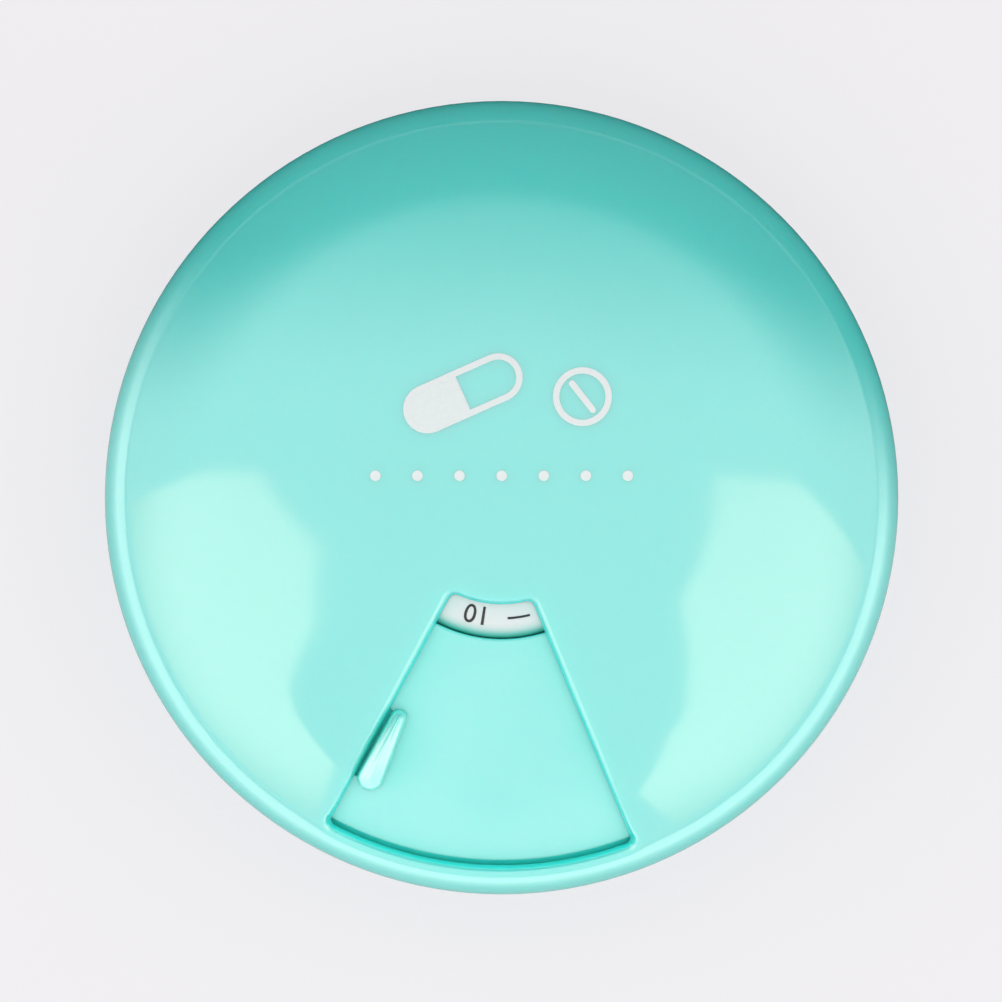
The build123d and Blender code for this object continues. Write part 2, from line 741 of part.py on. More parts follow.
def make_tray_screws():
    """Screws up through the bowl into the hub's bosses."""
    one = screw(small_shank_radius, tray_screw_length, small_head_radius, small_head_height)
    return [on_circle(tray_screw_radius, angle, tray_screw_seat) * one for angle in tray_screw_angles]


def main():
    """Write one STEP file for each piece."""
    os.makedirs("parts", exist_ok=True)
    pieces = {
        "upper_shell": make_upper_shell(),
        "fan_door": make_fan_door(),
        "inner_cover": make_inner_cover(),
        "cover_screws": Compound(children=make_cover_screws()),
        "pivot_screw": make_pivot_screw(),
        "pivot_washer": make_pivot_washer(),
        "index_spring": make_index_spring(),
        "pill_tray": make_pill_tray(),
        "tray_hub": make_tray_hub(),
        "day_ring": make_day_ring(),
        "base_shell": make_base_shell(),
        "tray_screws": Compound(children=make_tray_screws()),
    }
    for name, angle in foot_angles.items():
        pieces["foot_" + name] = make_foot(angle)
    for name, piece in pieces.items():
        export_step(piece, f"parts/{name}.step")
    print(f"door travel {door_travel:.2f} degrees, pocket 1 at front angle {pocket_front_angle:.2f}")


main()
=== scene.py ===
from math import acos, asin, atan2, cos, pi, radians, sin, sqrt

import bmesh
import bpy
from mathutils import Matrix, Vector


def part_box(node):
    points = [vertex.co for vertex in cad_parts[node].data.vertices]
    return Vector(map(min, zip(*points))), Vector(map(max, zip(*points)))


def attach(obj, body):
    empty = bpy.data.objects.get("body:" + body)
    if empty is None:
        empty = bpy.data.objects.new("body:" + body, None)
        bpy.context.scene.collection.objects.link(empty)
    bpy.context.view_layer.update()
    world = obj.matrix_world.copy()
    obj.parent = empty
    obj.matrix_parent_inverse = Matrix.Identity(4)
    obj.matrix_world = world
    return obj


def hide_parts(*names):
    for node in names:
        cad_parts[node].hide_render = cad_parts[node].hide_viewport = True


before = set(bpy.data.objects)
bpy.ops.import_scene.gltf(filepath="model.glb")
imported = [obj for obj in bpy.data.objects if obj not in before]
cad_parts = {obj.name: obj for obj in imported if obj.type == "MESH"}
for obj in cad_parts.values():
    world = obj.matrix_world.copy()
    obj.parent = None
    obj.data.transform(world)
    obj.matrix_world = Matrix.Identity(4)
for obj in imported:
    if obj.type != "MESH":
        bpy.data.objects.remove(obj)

bl_info = {
    "name": "Weekly pill organizer",
    "version": (1, 0, 0),
    "blender": (4, 5, 0),
    "location": "3D View > Sidebar > Pill box",
    "description": "Dresses the frame of a round seven-day pill box with a sliding door",
    "category": "Object",
}

MM = 0.001
WELD = MM / 500
DOME_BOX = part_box("upper_shell")
BOWL_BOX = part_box("base_shell")
RING_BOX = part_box("day_ring")

SHELL_COLUMNS = 144
RING_COLUMNS = 168
# Front angles of the four screw bosses, clear of the door's travel
BOSS_TURNS = [radians(angle) for angle in (90, 160, 230, 300)]
# Keeps the corners of a cutting bar off the columns of the piece it cuts
BAR_TURN = radians(2.6)

# Moulded finishes: colour, least and most roughness, index of refraction, grain in waves to the metre,
# its relief in metres, how much light sinks in, and how far each colour of it spreads
MOULDED = {
    "mint_gloss": ("mint", (0.07, 0.10), 1.8, 5200.0, 0.000003, 0.8, (0.15, 1.0, 0.85)),
    "mint_satin": ("door", (0.80, 0.88), 1.78, 4200.0, 0.000006, 0.8, (0.15, 1.0, 0.85)),
    # mint_dull_painted_shade: a rough, low-sheen skin, and its deeper, more saturated teal is painted shade
    # for faces that lie in recesses
    "mint_dull_painted_shade": ("deep", (0.55, 0.65), 1.2, 2600.0, 0.00001, 0.8, (0.1, 1.0, 0.85)),
    "grip_gloss": ("mint", (0.27, 0.33), 2.15, 4200.0, 0.000004, 0.8, (0.15, 1.0, 0.85)),
    "ring_white_painted_shade": ("ring", (0.30, 0.36), 1.5, 4200.0, 0.000006, 0.15, (0.8, 1.0, 1.0)),
    "tray_white": ("tray", (0.36, 0.46), 1.5, 3200.0, 0.00001, 0.1, (0.9, 1.0, 1.0)),
}
# Painted shade and bounce light: the darker mint-teal that the day ring's outer edge takes where it dips
# beside the door
RING_PAINTED_SHADE = (0.10, 0.62, 0.53)
# The painted shade starts this far inside the ring's edge and would be full this far outside it
PAINTED_SHADE_START, PAINTED_SHADE_FULL = 1.9 * MM, 0.2 * MM
# Height of the font's numerals as a share of its size
NUMERAL_SHARE = 0.72

# Corners of the soft boxes, in degrees from the vertical and from the front
LEFT_BOX = [(85, -89), (26, -96), (20, -75), (24, -56), (45, -32), (85, -30)]
RIGHT_BOX = [(85, 78), (79, 80), (23, 96), (22, 60), (33, 34), (52, 25), (85, 28)]
BOX_SHADE = (1.0, 0.88, 0.78)
WHITE = (1.0, 1.0, 1.0)
# Place of the camera that looks straight down, as the photograph does
EYE = (-0.00007, -0.0004, 0.8565)


def length(default, description):
    """A size in metres that the panel shows."""
    return bpy.props.FloatProperty(description=description, default=default, unit="LENGTH", precision=5)


def turn(default, description):
    """An angle that the panel shows, its default given in degrees."""
    return bpy.props.FloatProperty(
        description=description, default=radians(default), unit="ROTATION", subtype="ANGLE"
    )


def colour(default, description):
    """A linear colour that the panel shows."""
    return bpy.props.FloatVectorProperty(
        description=description, default=default, size=3, min=0.0, max=1.0, subtype="COLOR"
    )


class PillBoxSizes(bpy.types.PropertyGroup):
    """Sizes of the dressed pieces, most of them those of the frame's solids."""

    outer_radius: length(DOME_BOX[1][0], "Axis to the dome's widest line")
    top: length(DOME_BOX[1][2], "Table to the top of the dome")
    seam: length(0.013, "Table to the dome's lower edge")
    skirt: length(0.0015, "Height of the dome's upright band")
    crown_slope: turn(14.0, "Slope where the crown turns into the shoulder")
    shoulder_slope: turn(45.0, "Slope where the shoulder turns into the rim")
    rim_radius: length(0.008, "Radius of the dome's rim arc")
    shell_wall: length(0.0016, "Thickness of the dome")
    door_depth: length(0.0019, "Dome's surface down to the door's surface")
    door_thickness: length(0.0014, "Thickness of the door")
    door_step: length(0.0003, "Panel's surface down to the surface of its flange")
    door_overlap: turn(3.2, "How far the door reaches under the dome at each side")
    door_panel_radius: length(0.04375, "Axis to the outer edge of the door's panel")
    door_edge_round: length(0.0004, "Rounding of the door's curved edges")
    flange_slope: turn(68.0, "Slope under the dome where the door's flange ends")
    ring_gap: length(0.00006, "Day ring to the door")
    fan_left: turn(-28.3, "Direction of the opening's left edge from the front")
    fan_right: turn(22.6, "Direction of the opening's right edge from the front")
    fan_apex: length(0.0015, "Where the two edges would meet, along the left one")
    fan_inner_radius: length(0.0125, "Axis to the opening's inner edge")
    fan_outer_radius: length(0.0444, "Axis to the opening's outer edge")
    fan_corner: length(0.001, "Rounding of the opening's corners")
    fan_round: length(0.0008, "Rounding of the opening's upper edge")
    fan_draft: length(0.0002, "How far the opening's wall leans in at its foot")
    grip_turn: turn(-25.1, "Direction of the grip from the front")
    grip_inner_radius: length(0.0289, "Axis to the middle of the narrow end")
    grip_outer_radius: length(0.03705, "Axis to the middle of the wide end")
    grip_inner_width: length(0.0011, "Half the width of the narrow end")
    grip_outer_width: length(0.00165, "Half the width of the wide end")
    grip_inner_rise: length(-0.0006, "Crest over the dome's surface at the narrow end")
    grip_middle_rise: length(0.0013, "Crest over the dome's surface at the middle")
    grip_outer_rise: length(0.0007, "Crest over the dome's surface at the wide end")
    grip_round: length(0.00072, "Rounding of the grip's crest")
    grip_draft: length(0.00025, "How far the grip's sides lean in")
    grip_crown: length(0.0003, "How far the crest falls from its middle line to its sides")
    groove_depth: length(0.0006, "Depth of the nail groove between the grip and the opening's edge")
    groove_half: length(0.00028, "Half the width of the nail groove")
    groove_shift: length(0.00036, "Opening's left edge to the middle of the nail groove")
    ring_inner_radius: length(0.0114, "Axis to the inner edge of the day ring")
    ring_outer_radius: length(RING_BOX[1][0], "Axis to the outer edge of the day ring")
    ring_low: length(RING_BOX[0][2], "Table to the underside of the day ring")
    ring_round: length(0.0021, "Rounding of the day ring's outer edge")
    days: bpy.props.IntProperty(description="Number of pockets", default=7)
    first_day: turn(-3.98, "Direction of the first pocket from the front")
    mark_radius: length(0.01437, "Axis to the middle of the day marks")
    mark_height: length(0.0023, "Height of a numeral")
    mark_turn: turn(-8.0, "Numeral from the middle of its pocket")
    dash_turn: turn(12.2, "Dash from the middle of its pocket")
    dash_length: length(0.0027, "Length of a dash")
    dash_width: length(0.00027, "Width of a dash")
    mark_weight: length(0.00001, "How much a numeral's strokes are thickened to each side")
    print_depth: length(0.00001, "Thickness of the print on the dome")
    mark_depth: length(0.00003, "Thickness of the day marks")
    boss_radius: length(0.0023, "Radius of a screw boss under the dome")
    boss_low: length(0.02382, "Table to the lower end of a screw boss")
    boss_ring: length(0.032, "Axis to the screw bosses")
    bearing_radius: length(0.0045, "Radius of the boss that the dome turns on")
    bearing_low: length(DOME_BOX[0][2], "Table to the lower end of the bearing boss")
    bearing_hole: length(0.0015, "Radius of the hole for the pivot screw")
    thrust_radius: length(0.0072, "Outer radius of the ring that the dome rests on")
    thrust_low: length(0.02526, "Table to the lower end of that ring")
    web: length(0.0013, "Thickness of the thrust ring and its webs")
    bowl_flat: length(0.03, "Radius of the underside's flat")
    bowl_rim: length(0.008, "Radius of the bowl's rim arc")
    bowl_wall: length(0.0018, "Thickness of the bowl")
    seam_gap: length(0.0003, "Bowl's rim to the dome's lower edge")
    edge_round: length(0.0003, "Rounding of the two rims at the seam")
    tongue_gap: length(0.00025, "Dome's skirt to the bowl's tongue")
    tongue_thickness: length(0.0011, "Thickness of the bowl's tongue")
    tongue_height: length(0.0025, "Bowl's rim to the top of its tongue")
    screw_ring: length(0.01325, "Axis to the tray screws")
    screw_hole: length(0.00103, "Radius of a screw's hole")
    head_hole: length(0.00205, "Radius of the counterbore for a screw's head")
    head_depth: length(0.0012, "Depth of the counterbore")
    foot_ring: length(0.025, "Axis to the feet")
    foot_radius: length(0.00403, "Radius of a foot's seat")
    foot_recess: length(0.0005, "Depth of a foot's seat")


class PillBoxColours(bpy.types.PropertyGroup):
    """Colours of the finishes."""

    mint: colour((0.16, 0.89, 0.80), "Glossy shell of the dome and the bowl")
    door: colour((0.15, 0.845, 0.76), "Satin door")
    # Painted shade: the deeper, more saturated teal that stands in for shade in the recesses where the dull
    # finish goes
    deep: colour((0.06, 0.97, 0.86), "Unpolished edges and undersides")
    ring: colour((0.81, 0.85, 0.85), "Day ring")
    tray: colour((0.78, 0.80, 0.79), "Tray, hub and inner cover")
    ink: colour((0.045, 0.04, 0.045), "Numerals and dashes of the day ring")
    white_ink: colour((0.90, 0.96, 0.95), "Print on the dome")
    steel: colour((0.62, 0.62, 0.63), "Screws, washer and spring")
    silicone: colour((0.33, 0.40, 0.40), "Feet")
    floor: colour((0.93, 0.91, 0.94), "Table under the box")


def stops(start, end, count):
    """Values spaced evenly from a start to an end."""
    return [start + (end - start) * i / count for i in range(count + 1)]


def ahead(front_angle):
    """Plan direction at an angle from the front, positive towards +X."""
    return Vector((sin(front_angle), -cos(front_angle), 0))


def aside(front_angle):
    """Plan direction a quarter turn on from a direction."""
    return Vector((cos(front_angle), sin(front_angle), 0))


def up(height):
    """Upward step."""
    return Vector((0, 0, height))


def plan_radius(place):
    """Distance of a place from the axis."""
    return sqrt(place.x**2 + place.y**2)


def ring_row(centre, radius, count=40, way=1):
    """Row of points round a centre."""
    return [centre + ahead(way * 2 * pi * i / count) * radius for i in range(count)]


def arc_between(first, last, sweep, steps):
    """Directions that swing from one to another."""
    return [(first * sin((1 - w) * sweep) + last * sin(w * sweep)) / sin(sweep) for w in stops(0, 1, steps)]


def angle_between(first, last, size=1.0):
    """Angle between two directions of one size."""
    return acos(max(-1.0, min(1.0, first.dot(last) / size**2)))


class DomeSection:
    """The dome's section: a crown arc, a shoulder arc and a rim arc, each tangent to the next."""

    def __init__(self, sizes):
        (s1, c1), (s2, c2) = ((sin(slope), cos(slope)) for slope in (sizes.crown_slope, sizes.shoulder_slope))
        rim, self.widest, self.equator = sizes.rim_radius, sizes.outer_radius, sizes.seam + sizes.skirt
        width = self.widest - rim * (1 - s2)
        rise = sizes.top - self.equator - rim * c2
        closure = s1 * (c1 - c2) - (1 - c1) * (s2 - s1)
        crown = (width * (c1 - c2) - rise * (s2 - s1)) / closure
        shoulder = (rise * s1 - width * (1 - c1)) / closure
        low, step = sizes.top - crown, crown - shoulder
        # Each arc: radius and height of its centre, its own radius and the slope where it ends
        self.arcs = (
            (0.0, low, crown, sizes.crown_slope),
            (step * s1, low + step * c1, shoulder, sizes.shoulder_slope),
            (self.widest - rim, self.equator, rim, pi / 2),
        )

    def arc_where(self, test):
        """First of the two upper arcs that passes a test, or else the rim arc."""
        return next((arc for arc in self.arcs[:2] if test(*arc)), self.arcs[2])

    def point(self, slope, depth=0.0):
        """Radius and height of the surface some depth under the dome, at a slope."""
        x, z, size, _ = self.arc_where(lambda x, z, size, end: slope <= end)
        return x + (size - depth) * sin(slope), z + (size - depth) * cos(slope)

    def slope(self, radius, depth=0.0):
        """Slope where the surface some depth under the dome passes a plan radius."""
        x, _, size, _ = self.arc_where(lambda x, z, size, end: radius <= x + (size - depth) * sin(end))
        return asin(min(1.0, (radius - x) / (size - depth)))

    def height(self, radius, depth=0.0):
        """Height of the surface some depth under the dome, at a plan radius."""
        return self.point(self.slope(radius, depth), depth)[1]

    def line(self, start, end, steps, depth=0.0):
        """Points of the surface some depth under the dome, between two slopes."""
        return [self.point(slope, depth) for slope in stops(start, end, steps)]

    def normal(self, place, depth=0.0):
        """Outward direction of the dome over a place."""
        radius = plan_radius(place)
        if radius < 1e-9:
            return up(1)
        slope = self.slope(radius, depth)
        return Vector((place.x / radius * sin(slope), place.y / radius * sin(slope), cos(slope)))


def circle_through(first, middle, last):
    """Height at a radius on the upper arc through three points of a section."""
    (x1, y1), (x2, y2), (x3, y3) = first, middle, last
    d = 2 * (x1 * (y2 - y3) + x2 * (y3 - y1) + x3 * (y1 - y2))
    s1, s2, s3 = x1 * x1 + y1 * y1, x2 * x2 + y2 * y2, x3 * x3 + y3 * y3
    cx = (s1 * (y2 - y3) + s2 * (y3 - y1) + s3 * (y1 - y2)) / d
    cy = (s1 * (x3 - x2) + s2 * (x1 - x3) + s3 * (x2 - x1)) / d
    radius = sqrt((x1 - cx) ** 2 + (y1 - cy) ** 2)
    return lambda x: cy + sqrt(max(0.0, radius**2 - (x - cx) ** 2))


def rounded_corner(before, corner, after, radius, steps=5):
    """Points of a section's rounded corner."""
    corner = Vector(corner)
    a = (Vector(before) - corner).normalized()
    b = (Vector(after) - corner).normalized()
    half = angle_between(a, b) / 2
    centre = corner + (a + b).normalized() * (radius / sin(half))
    back = radius / (sin(half) / cos(half))
    first, last = corner + a * back - centre, corner + b * back - centre
    sweep = angle_between(first, last, radius)
    return [tuple(centre + out) for out in arc_between(first, last, sweep, steps)]


def oval_rows(start, end, half, insets, steps=14):
    """Rows round a bar with round ends, each row inset further than the last."""
    along = (end - start).normalized()
    across = Vector((-along.y, along.x, 0))
    spots = [(end, a) for a in stops(-pi / 2, pi / 2, steps)]
    spots += [(end.lerp(start, i / 10), pi / 2) for i in range(1, 10)]
    spots += [(start, a) for a in stops(pi / 2, 3 * pi / 2, steps)]
    spots += [(start.lerp(end, i / 10), -pi / 2) for i in range(1, 10)]
    return [[c + (along * cos(a) + across * sin(a)) * (half - inset) for c, a in spots] for inset in insets]


def clear_selection():
    """Back to object mode with nothing selected."""
    if bpy.context.object and bpy.context.object.mode != "OBJECT":
        bpy.ops.object.mode_set(mode="OBJECT")
    bpy.ops.object.select_all(action="DESELECT")


def pick(piece):
    """Makes one piece the selected and active one."""
    clear_selection()
    piece.select_set(True)
    bpy.context.view_layer.objects.active = piece


def named(name):
    """The piece just made, named with its mesh."""
    piece = bpy.context.object
    piece.name = name
    piece.data.name = name
    return piece


def edit_all():
    """Into edit mode with everything selected."""
    bpy.ops.object.mode_set(mode="EDIT")
    bpy.ops.mesh.select_all(action="SELECT")


def weld():
    """Merges doubles in edit mode and leaves everything selected."""
    bpy.ops.mesh.select_all(action="SELECT")
    bpy.ops.mesh.remove_doubles(threshold=WELD)
    bpy.ops.mesh.select_all(action="SELECT")


def tidy_mesh():
    """Merges doubles and turns all faces outwards, in edit mode."""
    bpy.ops.mesh.select_mode(type="VERT")
    weld()
    bpy.ops.mesh.normals_make_consistent(inside=False)


def select_where(test, kind="VERT"):
    """Selects what passes a test in edit mode, and nothing else."""
    bpy.ops.mesh.select_mode(type=kind)
    bpy.ops.mesh.select_all(action="DESELECT")
    mesh = bmesh.from_edit_mesh(bpy.context.object.data)
    for part in {"VERT": mesh.verts, "EDGE": mesh.edges, "FACE": mesh.faces}[kind]:
        if test(part):
            part.select_set(True)
    mesh.select_flush_mode()
    bmesh.update_edit_mesh(bpy.context.object.data)


def select_open(test=lambda place: True):
    """Selects the open edges whose two ends both pass a test."""
    select_where(lambda e: e.is_boundary and all(test(v.co) for v in e.verts), "EDGE")


def turned_piece(name, section, steps, angle=2 * pi, start=-pi / 2):
    """A section of radius and height points, spun round the axis from a world angle."""
    side = Vector((cos(start), sin(start), 0))
    points = [side * r + up(z) for r, z in section]
    if section[0][0] or section[-1][0]:
        points.append(points[0])
    clear_selection()
    bpy.ops.mesh.primitive_plane_add(size=MM, location=(0, 0, 0))
    piece = named(name)
    edit_all()
    bpy.ops.mesh.merge(type="CENTER")
    bpy.ops.transform.translate(value=points[0])
    for near, far in zip(points, points[1:]):
        bpy.ops.mesh.extrude_vertices_move(TRANSFORM_OT_translate={"value": far - near})
    weld()
    bpy.ops.mesh.spin(steps=steps, angle=angle, center=(0, 0, 0), axis=(0, 0, -1))
    if angle < 2 * pi:
        weld()
        for end in (start, start + angle):
            out = Vector((-sin(end), cos(end), 0))
            select_open(lambda place: abs(place @ out) < MM / 200)
            bpy.ops.mesh.edge_face_add()
    tidy_mesh()
    return piece


def lofted_rows(name, rows, close_last=False):
    """A band drawn as a closed row of vertices and extruded from row to row."""
    clear_selection()
    bpy.ops.mesh.primitive_circle_add(vertices=len(rows[0]), radius=MM, location=(0, 0, 0))
    piece = named(name)
    bpy.ops.object.mode_set(mode="EDIT")
    place_row(None, rows[0])
    for before, row in zip(rows, rows[1:]):
        bpy.ops.mesh.extrude_edges_move(TRANSFORM_OT_translate={"value": (0, 0, 0)})
        place_row(before, row)
    if close_last:
        bpy.ops.mesh.edge_face_add()
    return piece


def place_row(before, row):
    """Moves the selected vertices to a row; before is where they are, or None for a fresh circle."""
    mesh = bmesh.from_edit_mesh(bpy.context.object.data)
    mesh.verts.ensure_lookup_table()
    chosen = [v for v in mesh.verts if v.select]
    if before is None:
        for vertex, point in zip(chosen, row):
            vertex.co = point
    else:
        pairs = list(zip(before, row))
        seats = {tuple(round(c * 1e7) for c in Vector(old)): new for old, new in pairs}
        for vertex in chosen:
            key = tuple(round(c * 1e7) for c in vertex.co)
            if key not in seats:
                seats[key] = min(pairs, key=lambda pair: (pair[0] - vertex.co).length)[1]
            vertex.co = seats[key]
    bmesh.update_edit_mesh(bpy.context.object.data)


def joined(name, pieces):
    """One object from several."""
    clear_selection()
    for piece in pieces:
        piece.select_set(True)
    bpy.context.view_layer.objects.active = pieces[0]
    bpy.ops.object.join()
    pieces[0].name = name
    return pieces[0]


def smooth(piece, angle=35.0):
    """Smooth shading that keeps sharp edges."""
    pick(piece)
    bpy.ops.object.shade_smooth_by_angle(angle=radians(angle))


def apply_modifier(piece, kind, **settings):
    """Adds a modifier to a piece and makes it part of the mesh."""
    pick(piece)
    step = piece.modifiers.new(kind.lower(), kind)
    for name, value in settings.items():
        setattr(step, name, value)
    bpy.ops.object.modifier_apply(modifier=step.name)


def cut_away(piece, cutter):
    """Cuts one piece with another, which is used up."""
    apply_modifier(piece, "BOOLEAN", object=cutter, operation="DIFFERENCE", solver="EXACT")
    bpy.data.objects.remove(cutter)


def round_bar(radius, high, place, sides=48):
    """Upright bar from the table up at a plan place, its place in its mesh."""
    clear_selection()
    bpy.ops.mesh.primitive_cylinder_add(
        vertices=sides, radius=radius, depth=high, location=place + up(high / 2), rotation=(0, 0, BAR_TURN)
    )
    bpy.ops.object.transform_apply(location=True, rotation=True, scale=True)
    return bpy.context.object


def slot_bar(start, end, half, floor_at, height):
    """Upright bar with round ends between two plan places, to cut a groove down to its floor."""
    row = [Vector((p.x, p.y, floor_at(p.length))) for p in oval_rows(start, end, half, (0,))[0]]
    bar = lofted_rows("slot", [row, [p + up(height) for p in row]], close_last=True)
    select_open()
    bpy.ops.mesh.edge_face_add()
    tidy_mesh()
    clear_selection()
    return bar


def facing_up(piece, cuts=0):
    """Turns all faces of a flat piece upwards and cuts them finer."""
    pick(piece)
    edit_all()
    weld()
    bpy.ops.mesh.normals_make_consistent(inside=False)
    select_where(lambda f: f.normal.z < 0, "FACE")
    bpy.ops.mesh.flip_normals()
    if cuts:
        bpy.ops.mesh.select_all(action="SELECT")
        bpy.ops.mesh.quads_convert_to_tris()
        bpy.ops.mesh.subdivide(number_cuts=cuts)
    clear_selection()


def lay_on(piece, surface, thickness):
    """Lays a flat print on a surface, given as a height at a plan radius, and gives it its thickness."""
    for vertex in piece.data.vertices:
        vertex.co.z = surface(plan_radius(vertex.co))
    apply_modifier(piece, "SOLIDIFY", thickness=thickness, offset=1.0)


def finish_piece(piece, body, material, slot, *nodes):
    """Gives a piece its finish, its body and the nodes that it stands for."""
    clear_selection()
    piece.data.materials.clear()
    piece.data.materials.append(material)
    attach(piece, body)
    if nodes:
        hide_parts(*nodes)


def dull_and_shaded_where(piece, material, test):
    """Gives the faces that pass a test a second finish."""
    piece.data.materials.append(material)
    for face in piece.data.polygons:
        if test(face):
            face.material_index = 1


def fill_inputs(tree, node, inputs):
    """Sets the inputs of a node, each to a value or from a socket."""
    for name, value in inputs.items():
        if isinstance(value, bpy.types.NodeSocket):
            tree.links.new(value, node.inputs[name])
        else:
            node.inputs[name].default_value = value


def add_node(tree, kind, output, inputs, **settings):
    """A node with its settings and inputs; gives back one of its outputs."""
    node = tree.nodes.new("ShaderNode" + kind)
    for name, value in settings.items():
        setattr(node, name, value)
    fill_inputs(tree, node, inputs)
    return node.outputs[output]


def new_material(name):
    """A fresh material, its node tree, its shader and the place on the piece."""
    material = bpy.data.materials.new(name)
    material.use_nodes = True
    tree = material.node_tree
    return material, tree, tree.nodes["Principled BSDF"], add_node(tree, "TexCoord", "Object", {})


def show_surface(tree, socket):
    """Makes a socket what the material shows."""
    tree.links.new(socket, tree.nodes["Material Output"].inputs["Surface"])


def noise(tree, place, scale, detail=2.0, roughness=0.5):
    """Noise over a piece, its scale in waves to the metre."""
    inputs = {"Vector": place, "Scale": scale, "Detail": detail, "Roughness": roughness}
    return add_node(tree, "TexNoise", "Fac", inputs)


def between(tree, value, low, high):
    """A noise spread between two ends."""
    ends = {"From Min": 0.3, "From Max": 0.7, "To Min": low, "To Max": high}
    return add_node(tree, "MapRange", "Result", {"Value": value, **ends})


def ramp(tree, value, near, far):
    """A soft ramp; near and far each give a value and the strength there."""
    ends = {"From Min": near[0], "To Min": near[1], "From Max": far[0], "To Max": far[1]}
    return add_node(tree, "MapRange", "Result", {"Value": value, **ends}, interpolation_type="SMOOTHSTEP")


def tint(tree, value, first, second):
    """A colour between two, by a value; the first may be a socket."""
    first = first if isinstance(first, bpy.types.NodeSocket) else (*first, 1)
    return add_node(tree, "Mix", "Result", {"A": first, "B": (*second, 1), "Factor": value}, data_type="RGBA")


def raised(tree, value, strength, distance):
    """Normal of a fine relief on a finish."""
    return add_node(tree, "Bump", "Normal", {"Strength": strength, "Distance": distance, "Height": value})


def vector_step(tree, operation, vector, other=None, output="Vector"):
    """One step of vector arithmetic."""
    inputs = {0: vector} if other is None else {0: vector, 1: other}
    return add_node(tree, "VectorMath", output, inputs, operation=operation)


def value_step(tree, operation, first, second):
    """One step of arithmetic on two values."""
    return add_node(tree, "Math", "Value", {0: first, 1: second}, operation=operation)


def leaning(tree, place, line):
    """How far the direction of a place leans along a line."""
    return vector_step(tree, "DOT_PRODUCT", vector_step(tree, "NORMALIZE", place), line, "Value")


def finish(name, shades, patches, gloss, grain, fixed):
    """A finish made once and then shared: two shades in patches, a gloss that varies and a fine grain.

    patches are the values of a noise, gloss those of a noise and its least and most roughness, grain those
    of a noise and the strength and depth of its relief, and fixed the plain values of the shader.
    """
    if name in bpy.data.materials:
        return bpy.data.materials[name]
    material, tree, shader, place = new_material(name)
    drift = between(tree, noise(tree, place, *patches), 0.0, 1.0)
    skin = {
        "Base Color": tint(tree, drift, *shades),
        "Roughness": between(tree, noise(tree, place, gloss[0]), *gloss[1]),
        "Normal": raised(tree, noise(tree, place, grain[0]), *grain[1:]),
    }
    fill_inputs(tree, shader, skin | fixed)
    return material


def moulded(colours, name):
    """Moulded plastic: its colour drifts a little and light sinks into it."""
    shade, gloss, refraction, grain, relief, depth, reach = MOULDED[name]
    shade = getattr(colours, shade)
    fixed = {
        "IOR": refraction,
        "Specular IOR Level": 1.0,
        "Subsurface Weight": depth,
        "Subsurface Radius": reach,
        "Subsurface Scale": 2 * MM,
    }
    shades = (shade, [c * 0.97 for c in shade])
    return finish(name, shades, (28.0,), (90.0, gloss), (grain, 0.35, relief), fixed)


def printed(name, shade, gloss, sheen):
    """Screen-printed ink: slightly uneven cover and a dull skin."""
    shades = (shade, [c * 0.93 + 0.03 for c in shade])
    gloss = (900.0, (gloss - 0.06, gloss + 0.06))
    return finish(name, shades, (2600.0, 3.0), gloss, (4000.0, 0.2, 0.000004), {"Specular IOR Level": sheen})


def soft_silicone(shade):
    """Silicone rubber: a dull skin with a fine grain and a trace of dust."""
    shades = (shade, [min(1.0, c * 1.25 + 0.02) for c in shade])
    return finish(
        "soft_silicone", shades, (420.0, 5.0, 0.65), (1500.0, (0.55, 0.75)), (5200.0, 0.4, 0.00002), {}
    )


def plated_steel(shade):
    """Zinc-plated steel: turned marks round the axis and a mottled gloss."""
    material, tree, shader, place = new_material("plated_steel")
    stretched = add_node(tree, "Mapping", "Vector", {"Vector": place, "Scale": (1.0, 1.0, 14.0)})
    marks = noise(tree, stretched, 900.0, 3.0)
    skin = {
        "Base Color": tint(tree, marks, shade, [c * 0.78 for c in shade]),
        "Roughness": between(tree, noise(tree, place, 700.0, 4.0), 0.22, 0.42),
        "Normal": raised(tree, marks, 0.3, 0.00002),
        "Metallic": 1.0,
    }
    fill_inputs(tree, shader, skin)
    return material


def ring_with_painted_shade(colours, low, high):
    """Finish of the day ring, with painted shade: a darker mint-teal, standing in for the shade and the light
    bounced off the door, between two radii where it meets the door.
    """
    material = moulded(colours, "ring_white_painted_shade")
    tree = material.node_tree
    base = tree.nodes["Principled BSDF"].inputs["Base Color"]
    # Painted shade: the ring's colour turns darker mint-teal with distance from the axis, towards its outer
    # edge
    flat = vector_step(tree, "MULTIPLY", add_node(tree, "TexCoord", "Object", {}), (1.0, 1.0, 0.0))
    share = ramp(tree, vector_step(tree, "LENGTH", flat, None, "Value"), (low, 0.0), (high, 1.0))
    tree.links.new(tint(tree, share, base.links[0].from_socket, RING_PAINTED_SHADE), base)
    return material


class PieceMaker:
    """What the operators of the pieces share: sizes, colours and the dome's section for their build."""

    def execute(self, context):
        sizes = context.scene.pill_box_sizes
        self.build(sizes, context.scene.pill_box_colours, DomeSection(sizes))
        return {"FINISHED"}


def reach_along(start, along, radius):
    """How far from a start along a direction a circle round the axis is met."""
    b = start.dot(along)
    return -b + sqrt(b * b - start.dot(start) + radius * radius)


def fan_right_edge(sizes):
    """Angle from the front at which the opening's right edge passes its outer radius."""
    apex, along = ahead(sizes.fan_left) * sizes.fan_apex, ahead(sizes.fan_right)
    place = apex + along * reach_along(apex, along, sizes.fan_outer_radius)
    return asin(place.x / sizes.fan_outer_radius)


